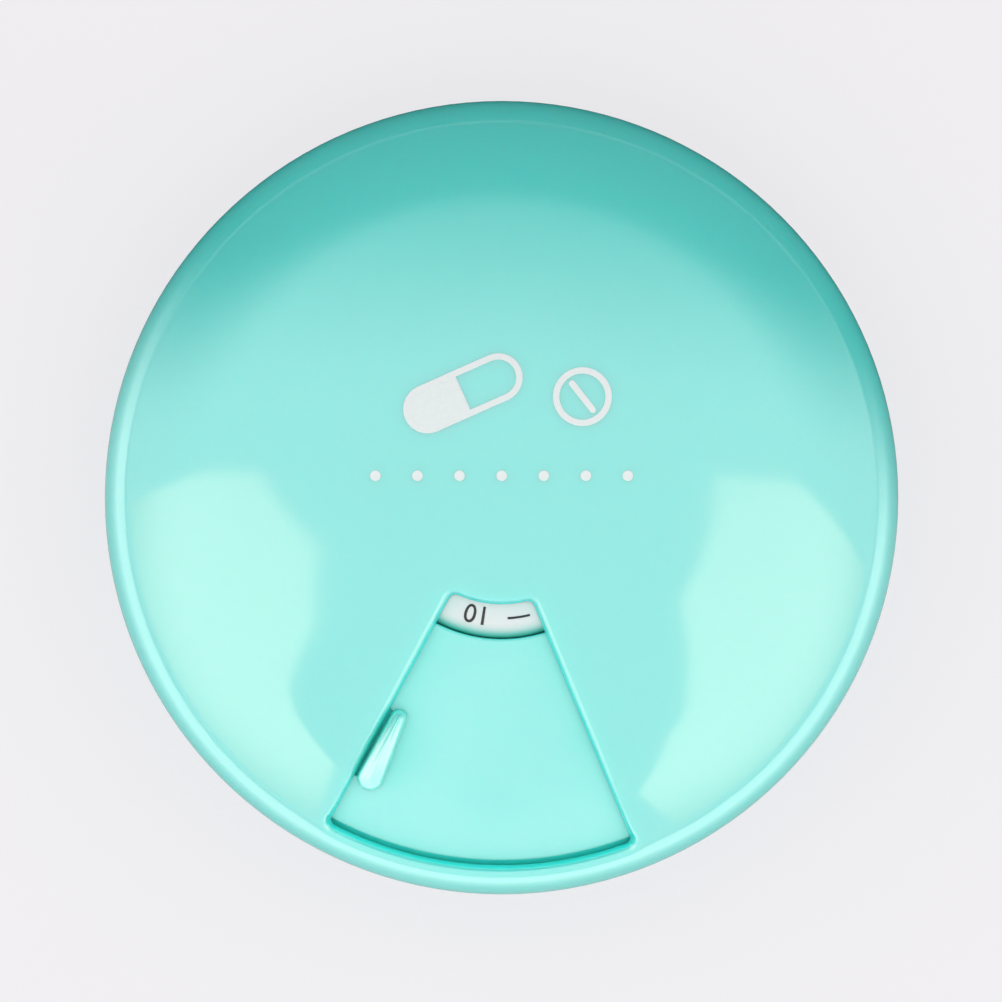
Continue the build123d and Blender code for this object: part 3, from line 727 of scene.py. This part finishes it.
def fan_outline(sizes):
    """Plan points of the opening's edge, each with its direction away from the opening."""
    rounding = sizes.fan_corner
    left, right = ahead(sizes.fan_left), ahead(sizes.fan_right)
    left_in, right_in = aside(sizes.fan_left), -aside(sizes.fan_right)
    from_left = left_in * rounding
    from_right = left * sizes.fan_apex + right_in * rounding
    inner, outer = sizes.fan_inner_radius + rounding, sizes.fan_outer_radius - rounding
    li, lo = (from_left + left * reach_along(from_left, left, reach) for reach in (inner, outer))
    ri, ro = (from_right + right * reach_along(from_right, right, reach) for reach in (inner, outer))

    def corner(centre, first, last):
        outs = arc_between(first, last, angle_between(first, last), 7)
        return [(centre + out * rounding, out) for out in outs]

    def side(first, last, out):
        first, last = first + out * rounding, last + out * rounding
        return [(first.lerp(last, i / 26), out) for i in range(1, 26)]

    def arc(first, last, radius, sign, steps):
        angles = stops(atan2(first.y, first.x), atan2(last.y, last.x), steps)[1:-1]
        ways = [Vector((cos(angle), sin(angle), 0)) for angle in angles]
        return [(way * radius, way * sign) for way in ways]

    outer_part = corner(lo, -left_in, lo.normalized()) + arc(lo, ro, sizes.fan_outer_radius, 1.0, 30)
    right_part = corner(ro, ro.normalized(), -right_in) + side(ro, ri, -right_in)
    inner_part = corner(ri, -right_in, -ri.normalized()) + arc(ri, li, sizes.fan_inner_radius, -1.0, 8)
    left_part = corner(li, -li.normalized(), -left_in) + side(li, lo, -left_in)
    return outer_part + right_part + inner_part + left_part


def fan_rim_rows(sizes, dome):
    """Rows of the opening's rounded rim, from the dome's surface down its wall to the underside."""
    columns = []
    for point, out in fan_outline(sizes):
        facing = dome.normal(point)
        share = facing.dot(-out)
        edge = Vector((point.x, point.y, dome.height(point.length)))
        centre = edge - (facing - out) * (sizes.fan_round / (1 + share))
        first = centre + facing * sizes.fan_round
        sag = dome.height(plan_radius(first)) - first.z
        column = []
        for i, way in enumerate(arc_between(facing, -out, acos(share), 6)):
            column.append(centre + way * sizes.fan_round + up(sag * (1 - i / 6)))
        foot = point - out * sizes.fan_draft
        column.append(Vector((foot.x, foot.y, dome.height(foot.length, sizes.shell_wall))))
        columns.append(column)
    return [list(row) for row in zip(*columns)]


def shade_as_dome(piece, dome, shell_wall):
    """Sets the normals of the vertices on the dome's two surfaces to those of the true form."""
    under, past, off_surface, rim_band, facing = MM / 10, MM / 20, MM / 50, MM / 5, 0.55
    mesh = piece.data
    normals = [Vector(n.vector) for n in mesh.corner_normals]
    for face in mesh.polygons:
        for loop in face.loop_indices:
            co = mesh.vertices[mesh.loops[loop].vertex_index].co
            radius = plan_radius(co)
            if co.z < dome.equator - under:
                continue
            for depth, side in ((0.0, 1.0), (shell_wall, -1.0)):
                reach = dome.widest - depth
                off = abs(co.z - dome.height(min(radius, reach), depth))
                if radius > reach + past or (off > off_surface and radius < reach - rim_band):
                    continue
                true = dome.normal(co, depth) * side
                if face.normal.dot(true) > facing:
                    normals[loop] = true
                    break
    mesh.normals_split_custom_set(normals)


class PILLBOX_OT_dome(PieceMaker, bpy.types.Operator):
    """Turn the glossy dome and open its fan-shaped window"""

    bl_idname = "pillbox.dome"
    bl_label = "Dome"

    def build(self, sizes, colours, dome):
        wall, edge = sizes.shell_wall, sizes.edge_round
        margin_in, margin_left, margin_right, margin_out = 0.9 * MM, 0.9 * MM, 1.0 * MM, 1.45 * MM
        rim_margin, polished_depth, polished_lip = 1.2 * MM, 0.9 * MM, 0.4 * MM
        hole_in, hole_out = sizes.fan_inner_radius - margin_in, sizes.fan_outer_radius + margin_out
        radii = stops(0.0, hole_in, 7) + stops(hole_in, hole_out, 20)[1:]
        outer = [(r, dome.height(r)) for r in radii]
        outer += dome.line(dome.slope(hole_out), pi / 2, 12)[1:]
        reach = sizes.outer_radius - wall
        radii_in = [r for r in radii if r < reach - rim_margin]
        inner = [(r, dome.height(r, wall)) for r in radii_in]
        inner += dome.line(dome.slope(radii_in[-1], wall), pi / 2, 6, wall)[1:]
        lip_out, lip_in, low = sizes.outer_radius - edge, reach + edge, sizes.seam + edge
        lip = [(lip_out + edge * cos(a), low - edge * sin(a)) for a in stops(0, pi / 2, 4)]
        lip += [(lip_in - edge * sin(a), low - edge * cos(a)) for a in stops(0, pi / 2, 4)]
        shell = turned_piece("dome_shell", outer + lip + inner[::-1], SHELL_COLUMNS)
        pitch = 2 * pi / SHELL_COLUMNS
        first = (sizes.fan_left - margin_left / sizes.fan_inner_radius) // pitch * pitch
        last = -(-(fan_right_edge(sizes) + margin_right / sizes.fan_outer_radius) // pitch) * pitch

        def in_window(face):
            middle = face.calc_center_median()
            in_fan = first < atan2(middle.x, -middle.y) < last
            return in_fan and hole_in < plan_radius(middle) < hole_out and middle.z > dome.equator

        select_where(in_window, "FACE")
        bpy.ops.mesh.delete(type="FACE")
        shell = joined("dome_shell", [shell, lofted_rows("dome_rim", fan_rim_rows(sizes, dome))])
        bpy.ops.object.mode_set(mode="EDIT")

        def depth_of(place):
            return dome.height(min(plan_radius(place), sizes.outer_radius)) - place.z

        for high in (True, False):
            select_open(lambda place: (depth_of(place) < wall / 2) == high)
            bpy.ops.mesh.bridge_edge_loops()
        tidy_mesh()
        smooth(shell)
        shade_as_dome(shell, dome, wall)
        finish_piece(shell, "lid", moulded(colours, "mint_gloss"), "mint_shell", "upper_shell")

        # Faces down the window's wall and under the dome get the dull finish: a real rough skin, and painted
        # shade in its deeper teal
        def unpolished_in_shade(face):
            if face.center.z < dome.equator:
                return plan_radius(face.center) < sizes.outer_radius - polished_lip
            return depth_of(face.center) > polished_depth

        dull_and_shaded_where(shell, moulded(colours, "mint_dull_painted_shade"), unpolished_in_shade)


class PILLBOX_OT_dome_bosses(PieceMaker, bpy.types.Operator):
    """Raise the screw bosses, the bearing boss, the thrust ring and its webs under the dome"""

    bl_idname = "pillbox.dome_bosses"
    bl_label = "Dome bosses"

    def build(self, sizes, colours, dome):
        # The bosses start inside the shell, so that no gap shows between them and it
        depth = 0.8 * sizes.shell_wall
        hole, boss, low = sizes.screw_hole, sizes.boss_radius, sizes.boss_low
        pieces = []
        for angle in BOSS_TURNS:
            rows = []
            for radius, height in ((hole, None), (hole, low), (boss, low), (boss, None)):
                row = ring_row(ahead(angle) * sizes.boss_ring, radius, way=-1)
                rows.append([p + up(dome.height(p.length, depth) if height is None else height) for p in row])
            pieces.append(lofted_rows("screw_boss", rows))
        top = dome.height(0, depth)
        bearing = [(sizes.bearing_hole, top), (sizes.bearing_hole, sizes.bearing_low)]
        bearing += [(sizes.bearing_radius, sizes.bearing_low), (sizes.bearing_radius, top)]
        pieces.append(turned_piece("bearing_boss", bearing, 64))
        inner = sizes.thrust_radius - sizes.web
        thrust = [(inner, top), (inner, sizes.thrust_low), (sizes.thrust_radius, sizes.thrust_low)]
        thrust.append((sizes.thrust_radius, dome.height(sizes.thrust_radius, depth)))
        pieces.append(turned_piece("thrust_ring", thrust, 64))
        for i in range(6):
            angle = pi / 6 + i * pi / 3
            near = ahead(angle) * (sizes.bearing_radius - sizes.web / 4)
            far = ahead(angle) * (inner + sizes.web / 4)
            half = aside(angle) * (sizes.web / 2)
            plan = [near - half, near + half, far + half, far - half]
            heights = (sizes.thrust_low + 1.5 * sizes.web, top)
            pieces.append(lofted_rows("web", [[p + up(height) for p in plan] for height in heights]))
        bosses = joined("dome_bosses", pieces)
        smooth(bosses)
        finish_piece(bosses, "lid", moulded(colours, "mint_gloss"), "mint_shell")


def grip_rows(sizes, dome):
    """Rows of the grip, from its root in the door up its sides and over its rounded crest."""
    along, across = ahead(sizes.grip_turn), aside(sizes.grip_turn)
    span = sizes.grip_outer_radius - sizes.grip_inner_radius
    widening = sizes.grip_outer_width - sizes.grip_inner_width
    side = pi / 2 + asin(widening / span)
    spots = [(1.0, a) for a in stops(-side, side, 14)]
    spots += [(w, side) for w in stops(1, 0, 12)[1:-1]]
    spots += [(0.0, a) for a in stops(side, 2 * pi - side, 10)]
    spots += [(w, -side) for w in stops(0, 1, 12)[1:-1]]
    first = sizes.grip_inner_radius - sizes.grip_inner_width
    last = sizes.grip_outer_radius + sizes.grip_outer_width
    radii = (first, (first + last) / 2, last)
    rises = (sizes.grip_inner_rise, sizes.grip_middle_rise, sizes.grip_outer_rise)
    crest = circle_through(*((radius, dome.height(radius) + rise) for radius, rise in zip(radii, rises)))
    root = sizes.door_depth + 0.5 * sizes.door_thickness

    def row(shrink, share, drop):
        points = []
        for w, angle in spots:
            out = along * cos(angle) + across * sin(angle)
            half = sizes.grip_inner_width + widening * w
            point = along * (sizes.grip_inner_radius + span * w) + out * (half - shrink) * share
            point.z = dome.height(point.length, root) if drop is None else crest(point.length) - drop
            points.append(point)
        return points

    draft, rounding, crown = sizes.grip_draft, sizes.grip_round, sizes.grip_crown
    rows = [row(0.0, 1.0, None)]
    for a in stops(0, pi / 2, 7):
        rows.append(row(draft + rounding * (1 - cos(a)), 1.0, crown + rounding * (1 - sin(a))))
    for share in (0.75, 0.5, 0.25, 0.0):
        rows.append(row(draft + rounding, share, crown * share**2))
    return rows


class PILLBOX_OT_door(PieceMaker, bpy.types.Operator):
    """Turn the sliding door and raise its grip"""

    bl_idname = "pillbox.door"
    bl_label = "Sliding door"

    def build(self, sizes, colours, dome):
        top, low = sizes.door_depth, sizes.door_depth + sizes.door_thickness
        step, edge = sizes.door_depth + sizes.door_step, sizes.door_edge_round
        inner = sizes.ring_outer_radius + sizes.ring_gap
        panel_slope = dome.slope(sizes.door_panel_radius, top)
        panel = dome.line(dome.slope(inner, top), panel_slope, 34, top)
        low_line = dome.line(dome.slope(inner, low), sizes.flange_slope, 34, low)
        section = rounded_corner(low_line[0], panel[0], panel[1], edge) + panel[1:-1]
        section += rounded_corner(panel[-2], panel[-1], dome.point(panel_slope, step), edge)
        section += dome.line(panel_slope, sizes.flange_slope, 8, step) + low_line[::-1]
        start = sizes.fan_left - sizes.door_overlap
        end = fan_right_edge(sizes) + sizes.door_overlap
        door = turned_piece("door_panel", section, 40, end - start, start - pi / 2)
        smooth(door)
        along, beside = ahead(sizes.fan_left), aside(sizes.fan_left) * sizes.groove_shift
        past_inner, past_outer, tall, recess = 0.2 * MM, 0.3 * MM, 4 * MM, 0.15 * MM
        near = along * (sizes.grip_inner_radius - past_inner) + beside
        far = along * (sizes.grip_outer_radius + past_outer) + beside

        def groove_floor(radius):
            return dome.height(radius, top) - sizes.groove_depth

        cut_away(door, slot_bar(near, far, sizes.groove_half, groove_floor, tall))
        smooth(door)
        finish_piece(door, "door", moulded(colours, "mint_satin"), "mint_door", "fan_door")

        # The door's flange, sides, underside and groove get the dull finish: a real rough skin, and painted
        # shade in its deeper teal
        def unpolished_in_shade(face):
            return dome.height(plan_radius(face.center), top) - face.center.z > recess

        dull_and_shaded_where(door, moulded(colours, "mint_dull_painted_shade"), unpolished_in_shade)
        grip = lofted_rows("door_grip", grip_rows(sizes, dome))
        tidy_mesh()
        smooth(grip, 50.0)
        finish_piece(grip, "door", moulded(colours, "grip_gloss"), "mint_door")


class PILLBOX_OT_bowl(PieceMaker, bpy.types.Operator):
    """Turn the glossy bowl, with its tongue, screw holes and foot seats"""

    bl_idname = "pillbox.bowl"
    bl_label = "Bowl"

    def build(self, sizes, colours, dome):
        stand = BOWL_BOX[0][2]
        rim_x = sizes.outer_radius - sizes.bowl_rim
        across = rim_x - sizes.bowl_flat
        turn_over = 2 * atan2(sizes.seam - stand - sizes.bowl_rim, across)
        belly = sizes.bowl_rim + across / sin(turn_over)

        def bowl_point(angle, depth):
            centre, radius = (rim_x, sizes.seam), sizes.bowl_rim
            if angle <= turn_over:
                centre, radius = (sizes.bowl_flat, stand + belly), belly
            return centre[0] + (radius - depth) * sin(angle), centre[1] - (radius - depth) * cos(angle)

        def bowl_line(end, steps, depth):
            angles = stops(0.0, turn_over, steps) + stops(turn_over, end, steps)[1:]
            return [bowl_point(angle, depth) for angle in angles]

        tongue_out = sizes.outer_radius - sizes.shell_wall - sizes.tongue_gap
        tongue_in = tongue_out - sizes.tongue_thickness
        outside = bowl_line(pi / 2 - asin(sizes.seam_gap / sizes.bowl_rim), 12, 0.0)
        end_in = asin((tongue_in - rim_x) / (sizes.bowl_rim - sizes.bowl_wall))
        inside = bowl_line(end_in, 10, sizes.bowl_wall)
        seat = outside[-1][1]
        section = [(0.0, stand), (sizes.bowl_flat / 2, stand)] + outside[:-1]
        section += rounded_corner(outside[-2], outside[-1], (tongue_out, seat), sizes.edge_round)
        top = seat + sizes.tongue_height
        section += [(tongue_out, seat), (tongue_out, top), (tongue_in, top)]
        section += inside[::-1] + [(0.0, stand + sizes.bowl_wall)]
        bowl = turned_piece("bowl_shell", section, SHELL_COLUMNS)
        smooth(bowl)
        for i in range(3):
            place = ahead(i * 2 * pi / 3) * sizes.screw_ring
            cut_away(bowl, round_bar(sizes.screw_hole, sizes.seam, place))
            cut_away(bowl, round_bar(sizes.head_hole, stand + sizes.head_depth, place))
        for i in range(4):
            place = ahead(pi / 4 + i * pi / 2) * sizes.foot_ring
            cut_away(bowl, round_bar(sizes.foot_radius, stand + sizes.foot_recess, place, 64))
        smooth(bowl)
        finish_piece(bowl, "base", moulded(colours, "mint_gloss"), "mint_shell", "base_shell")


def ring_section(sizes, dome):
    """Top line of the day ring and the points of its rounded outer corner."""
    depth = sizes.door_depth
    slopes = (dome.slope(radius, depth) for radius in (sizes.ring_inner_radius, sizes.ring_outer_radius))
    top = dome.line(*slopes, 12, depth)
    corner = rounded_corner(top[0], top[-1], (sizes.ring_outer_radius, sizes.ring_low), sizes.ring_round, 14)
    return [p for p in top if p[0] < corner[0][0] - MM / 20], corner


class PILLBOX_OT_day_ring(PieceMaker, bpy.types.Operator):
    """Turn the white day ring that shows in the dome's window"""

    bl_idname = "pillbox.day_ring"
    bl_label = "Day ring"

    def build(self, sizes, colours, dome):
        top, corner = ring_section(sizes, dome)
        edge = sizes.ring_outer_radius
        section = top + corner + [(edge, sizes.ring_low), (sizes.ring_inner_radius, sizes.ring_low)]
        ring = turned_piece("day_ring_white", section, RING_COLUMNS)
        smooth(ring)
        # The ring's finish carries painted shade along its outer edge
        white = ring_with_painted_shade(colours, edge - PAINTED_SHADE_START, edge + PAINTED_SHADE_FULL)
        finish_piece(ring, "base", white, "white_plastic", "day_ring")


class PILLBOX_OT_day_marks(PieceMaker, bpy.types.Operator):
    """Print a numeral and a dash for each day on the ring"""

    bl_idname = "pillbox.day_marks"
    bl_label = "Day marks"

    def build(self, sizes, colours, dome):
        corner = ring_section(sizes, dome)[1]
        falling = circle_through(corner[0], corner[3], corner[6])

        def ring_top(radius):
            return falling(radius) if radius > corner[0][0] else dome.height(radius, sizes.door_depth)

        marks = []
        for day in range(sizes.days):
            middle = sizes.first_day + day * 2 * pi / sizes.days
            clear_selection()
            bpy.ops.object.text_add(location=(0, 0, 0))
            label = bpy.context.object.data
            label.body = f"{day + 1:02d}"
            label.offset = sizes.mark_weight
            label.size = sizes.mark_height / NUMERAL_SHARE
            label.align_x = label.align_y = "CENTER"
            label.resolution_u = 6
            bpy.ops.object.convert(target="MESH")
            numeral = bpy.context.object
            bpy.ops.mesh.primitive_grid_add(x_subdivisions=10, y_subdivisions=1, size=1.0, location=(0, 0, 0))
            dash = bpy.context.object
            for vertex in dash.data.vertices:
                vertex.co.x *= sizes.dash_length
                vertex.co.y *= sizes.dash_width
            for mark, turn_by in ((numeral, sizes.mark_turn), (dash, sizes.dash_turn)):
                for vertex in mark.data.vertices:
                    angle = middle + turn_by + vertex.co.x / sizes.mark_radius
                    vertex.co = ahead(angle) * (sizes.mark_radius - vertex.co.y)
                marks.append(mark)
        marks = joined("day_marks", marks)
        facing_up(marks, 5)
        lay_on(marks, ring_top, sizes.mark_depth)
        finish_piece(marks, "base", printed("day_ink", colours.ink, 0.5, 0.12), "white_plastic")


class PILLBOX_OT_dome_print(PieceMaker, bpy.types.Operator):
    """Print a capsule, a tablet and a row of seven dots on the dome"""

    bl_idname = "pillbox.dome_print"
    bl_label = "Dome print"

    def build(self, sizes, colours, dome):
        line = 0.75 * MM
        capsule, tablet, dots = Vector((-4.6, 12.4, 0)) * MM, Vector((9.6, 12.0, 0)) * MM, 2.6 * MM
        tilt, reach, half = aside(radians(24)), 4.6 * MM, 2.9 * MM
        near, far, within = capsule - tilt * reach, capsule + tilt * reach, half - line - MM / 250
        filled = oval_rows(near, capsule, within, (0, 0.6 * MM, 1.2 * MM, 1.8 * MM, within))
        score = aside(radians(-52)) * 2.0 * MM
        dot, pitch = 0.62 * MM, 5.0 * MM
        art = {
            "capsule_line": oval_rows(near, far, half, (0, line)),
            "capsule_half": [[self.held_back(p, capsule, tilt) for p in row] for row in filled],
            "tablet_line": self.disc(tablet, 3.5 * MM, (0, line)),
            "tablet_score": oval_rows(tablet - score, tablet + score, line / 2, (0, line / 4, line / 2)),
        }
        pieces = [lofted_rows(name, rows) for name, rows in art.items()]
        for i in range(sizes.days):
            place = Vector(((i - (sizes.days - 1) / 2) * pitch, dots, 0))
            pieces.append(lofted_rows("day_dot", self.disc(place, dot, (0, 0.2 * MM, 0.4 * MM, dot))))
        art = joined("dome_print", pieces)
        facing_up(art)
        lay_on(art, dome.height, sizes.print_depth)
        finish_piece(art, "lid", printed("white_ink", colours.white_ink, 0.42, 0.5), "mint_shell")

    def disc(self, centre, radius, insets):
        """Rows of a round print that each lie further in."""
        return [ring_row(centre, radius - inset) for inset in insets]

    def held_back(self, point, middle, tilt):
        """Keeps a point on the near side of the capsule's middle line."""
        return point - tilt * max(0.0, (point - middle).dot(tilt))


class PILLBOX_OT_inner_parts(PieceMaker, bpy.types.Operator):
    """Give the tray, hub, cover, screws, spring and feet their finishes"""

    bl_idname = "pillbox.inner_parts"
    bl_label = "Inner parts"

    def build(self, sizes, colours, dome):
        feet = [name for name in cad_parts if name.startswith("foot_")]
        metal = ("cover_screws", "tray_screws", "pivot_screw", "pivot_washer", "index_spring")
        wear = dict.fromkeys(("pill_tray", "tray_hub", "inner_cover"), moulded(colours, "tray_white"))
        wear |= dict.fromkeys(metal, plated_steel(colours.steel))
        wear |= dict.fromkeys(feet, soft_silicone(colours.silicone))
        for name, material in wear.items():
            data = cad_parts[name].data
            data.materials.clear()
            data.materials.append(material)


def unit_direction(polar, front):
    """Direction at angles in degrees from the vertical and from the front."""
    return ahead(radians(front)) * sin(radians(polar)) + up(cos(radians(polar)))


def glow_sheet(sheet, shade, strength_at):
    """Makes a sheet glow for reflections only; strength_at builds its strength from the place on it."""
    clear_selection()
    material, tree, shader, place = new_material(sheet.name)
    tree.nodes.remove(shader)
    glow = {"Color": (*shade, 1), "Strength": strength_at(tree, place)}
    show_surface(tree, add_node(tree, "Emission", "Emission", glow))
    sheet.data.materials.clear()
    sheet.data.materials.append(material)
    sheet.visible_camera = False
    sheet.visible_diffuse = False
    sheet.visible_shadow = False
    sheet.visible_transmission = False


def soft_box(name, corners, bright, distance=0.8, strength=2.4):
    """A glowing sheet at the side, its corners and its brightest direction given as angles."""
    points = []
    for first, last in zip(corners, corners[1:] + corners[:1]):
        for i in range(6):
            points.append(unit_direction(*(a + (b - a) * i / 6 for a, b in zip(first, last))))
    middle = sum(points, Vector()) / len(points)
    rows = []
    for share in (0.0, 0.25, 0.5, 0.75, 0.97):
        rows.append([p.lerp(middle, share).normalized() * distance for p in points])

    dim_from, dim_share, bright_within = radians(50), 0.62, radians(8)

    def strength_at(tree, place):
        lean = leaning(tree, place, unit_direction(*bright))
        return ramp(tree, lean, (cos(dim_from), dim_share * strength), (cos(bright_within), strength))

    glow_sheet(lofted_rows(name, rows, close_last=True), BOX_SHADE, strength_at)


def overhead_sheet(radius=0.95, strength=1.36):
    """A half globe that glows over the front and fades towards the back, a little sooner at the sides."""
    clear_selection()
    bpy.ops.mesh.primitive_uv_sphere_add(segments=48, ring_count=24, radius=radius, location=(0, 0, 0))
    sheet = named("overhead_sheet")
    bpy.ops.object.mode_set(mode="EDIT")
    select_where(lambda f: f.calc_center_median().z < 0, "FACE")
    bpy.ops.mesh.delete(type="FACE")

    def strength_at(tree, place):
        back = leaning(tree, place, (0.04, 1, 0))
        side = leaning(tree, vector_step(tree, "ABSOLUTE", place), (0.08, 0, 0))
        return ramp(tree, value_step(tree, "ADD", back, side), (0.18, strength), (0.72, 0.04 * strength))

    glow_sheet(sheet, WHITE, strength_at)


def table_sheet(inner, outer=0.5, strength=2.2):
    """A flat ring over the table that glows at the front, more the farther out, for the rim's reflections."""
    rows = [ring_row(up(0.5 * MM), radius, 72) for radius in (inner, 1.5 * inner, 3 * inner, outer)]

    def strength_at(tree, place):
        reach = vector_step(tree, "LENGTH", place, None, "Value")
        farther = ramp(tree, reach, (inner, 0.22 * strength), (2.4 * inner, strength))
        front = ramp(tree, leaning(tree, place, (0.15, 1, 0)), (-0.1, 1.0), (0.6, 0.0))
        return value_step(tree, "MULTIPLY", farther, front)

    glow_sheet(lofted_rows("table_sheet", rows), WHITE, strength_at)


class PILLBOX_OT_stage(bpy.types.Operator):
    """Lay the pale floor and set the glowing sheets, the light all round and the camera"""

    bl_idname = "pillbox.stage"
    bl_label = "Stage"

    def execute(self, context):
        scene = context.scene
        scene.view_settings.view_transform = "Standard"
        self.lay_floor(scene.pill_box_colours.floor)
        self.light_world(scene)
        soft_box("left_soft_box", LEFT_BOX, (45, -62))
        soft_box("right_soft_box", RIGHT_BOX, (45, 55))
        overhead_sheet()
        table_sheet(1.04 * scene.pill_box_sizes.outer_radius)
        clear_selection()
        bpy.ops.object.camera_add(location=EYE, rotation=(0, 0, 0))
        camera = named("photo_camera")
        camera.data.lens = 250
        camera.data.sensor_width = 36
        camera.data.clip_end = 20
        scene.camera = camera
        return {"FINISHED"}

    def lay_floor(self, shade):
        """A round pale table; a glow of its own, for the camera alone, keeps it pale."""
        edge, middle, lit, own_share, own_strength = 3.0, 0.6, 0.72, 0.7, 1.07
        clear_selection()
        bpy.ops.mesh.primitive_circle_add(vertices=96, radius=edge, fill_type="NGON", location=(0, 0, 0))
        floor = named("table_top")
        edit_all()
        bpy.ops.mesh.inset(thickness=edge - middle, depth=0)
        clear_selection()
        material, tree, shader, place = new_material("table_paint")
        cloud = between(tree, noise(tree, place, 6.0, 3.0), 0.0, 1.0)
        paint = {
            "Base Color": tint(tree, cloud, [c * lit for c in shade], [c * (lit - 0.01) for c in shade]),
            "Roughness": 0.6,
            "Normal": raised(tree, noise(tree, place, 900.0), 0.1, 0.00001),
        }
        fill_inputs(tree, shader, paint)
        glow = {"Color": tint(tree, cloud, shade, [c * 0.985 for c in shade]), "Strength": own_strength}
        seen = add_node(tree, "LightPath", "Is Camera Ray", {})
        shares = {
            "Fac": value_step(tree, "MULTIPLY", seen, own_share),
            1: shader.outputs["BSDF"],
            2: add_node(tree, "Emission", "Emission", glow),
        }
        show_surface(tree, add_node(tree, "MixShader", "Shader", shares))
        floor.data.materials.append(material)

    def light_world(self, scene):
        """Soft light, even over the front and weaker from the back, and a white backdrop for the camera."""
        backdrop = 0.93
        world = bpy.data.worlds.new("studio")
        scene.world = world
        world.use_nodes = True
        tree = world.node_tree
        towards = add_node(tree, "TexCoord", "Generated", {})
        back = leaning(tree, towards, (0, 1.3, -0.65))
        side = leaning(tree, vector_step(tree, "ABSOLUTE", towards), (-0.25, 0, 0))
        sky = ramp(tree, value_step(tree, "ADD", back, side), (0.3, 0.97), (0.75, 0.0))
        low = ramp(tree, leaning(tree, towards, (0, 0, 1)), (0.0, 0.62), (0.5, 1.0))
        seen = add_node(tree, "LightPath", "Is Camera Ray", {})
        level = {"Factor": seen, "A": value_step(tree, "MULTIPLY", sky, low), "B": backdrop}
        glow = {"Color": (0.98, 0.99, 1.0, 1), "Strength": add_node(tree, "Mix", "Result", level)}
        fill_inputs(tree, tree.nodes["Background"], glow)


class PILLBOX_PT_panel(bpy.types.Panel):
    """Sizes, colours and pieces of the pill box"""

    bl_idname = "PILLBOX_PT_panel"
    bl_label = "Weekly pill organizer"
    bl_space_type = "VIEW_3D"
    bl_region_type = "UI"
    bl_category = "Pill box"

    def draw(self, context):
        layout = self.layout
        for operator in OPERATORS:
            layout.operator(operator.bl_idname)
        for group in (context.scene.pill_box_colours, context.scene.pill_box_sizes):
            box = layout.box()
            for name in group.__annotations__:
                box.prop(group, name, text=name.replace("_", " ").capitalize())


OPERATORS = (
    PILLBOX_OT_dome,
    PILLBOX_OT_dome_bosses,
    PILLBOX_OT_door,
    PILLBOX_OT_bowl,
    PILLBOX_OT_day_ring,
    PILLBOX_OT_day_marks,
    PILLBOX_OT_dome_print,
    PILLBOX_OT_inner_parts,
    PILLBOX_OT_stage,
)
CLASSES = (PillBoxSizes, PillBoxColours) + OPERATORS + (PILLBOX_PT_panel,)


def register():
    """Registers the classes and hangs the two groups on the scene."""
    for item in CLASSES:
        bpy.utils.register_class(item)
    bpy.types.Scene.pill_box_sizes = bpy.props.PointerProperty(type=PillBoxSizes)
    bpy.types.Scene.pill_box_colours = bpy.props.PointerProperty(type=PillBoxColours)


def unregister():
    """Takes the groups and the classes away again."""
    del bpy.types.Scene.pill_box_colours
    del bpy.types.Scene.pill_box_sizes
    for item in reversed(CLASSES):
        bpy.utils.unregister_class(item)


def main():
    """Makes every piece and the stage."""
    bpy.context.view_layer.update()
    register()
    bpy.ops.pillbox.dome()
    bpy.ops.pillbox.dome_bosses()
    bpy.ops.pillbox.door()
    bpy.ops.pillbox.bowl()
    bpy.ops.pillbox.day_ring()
    bpy.ops.pillbox.day_marks()
    bpy.ops.pillbox.dome_print()
    bpy.ops.pillbox.inner_parts()
    bpy.ops.pillbox.stage()


if __name__ == "__main__":
    main()
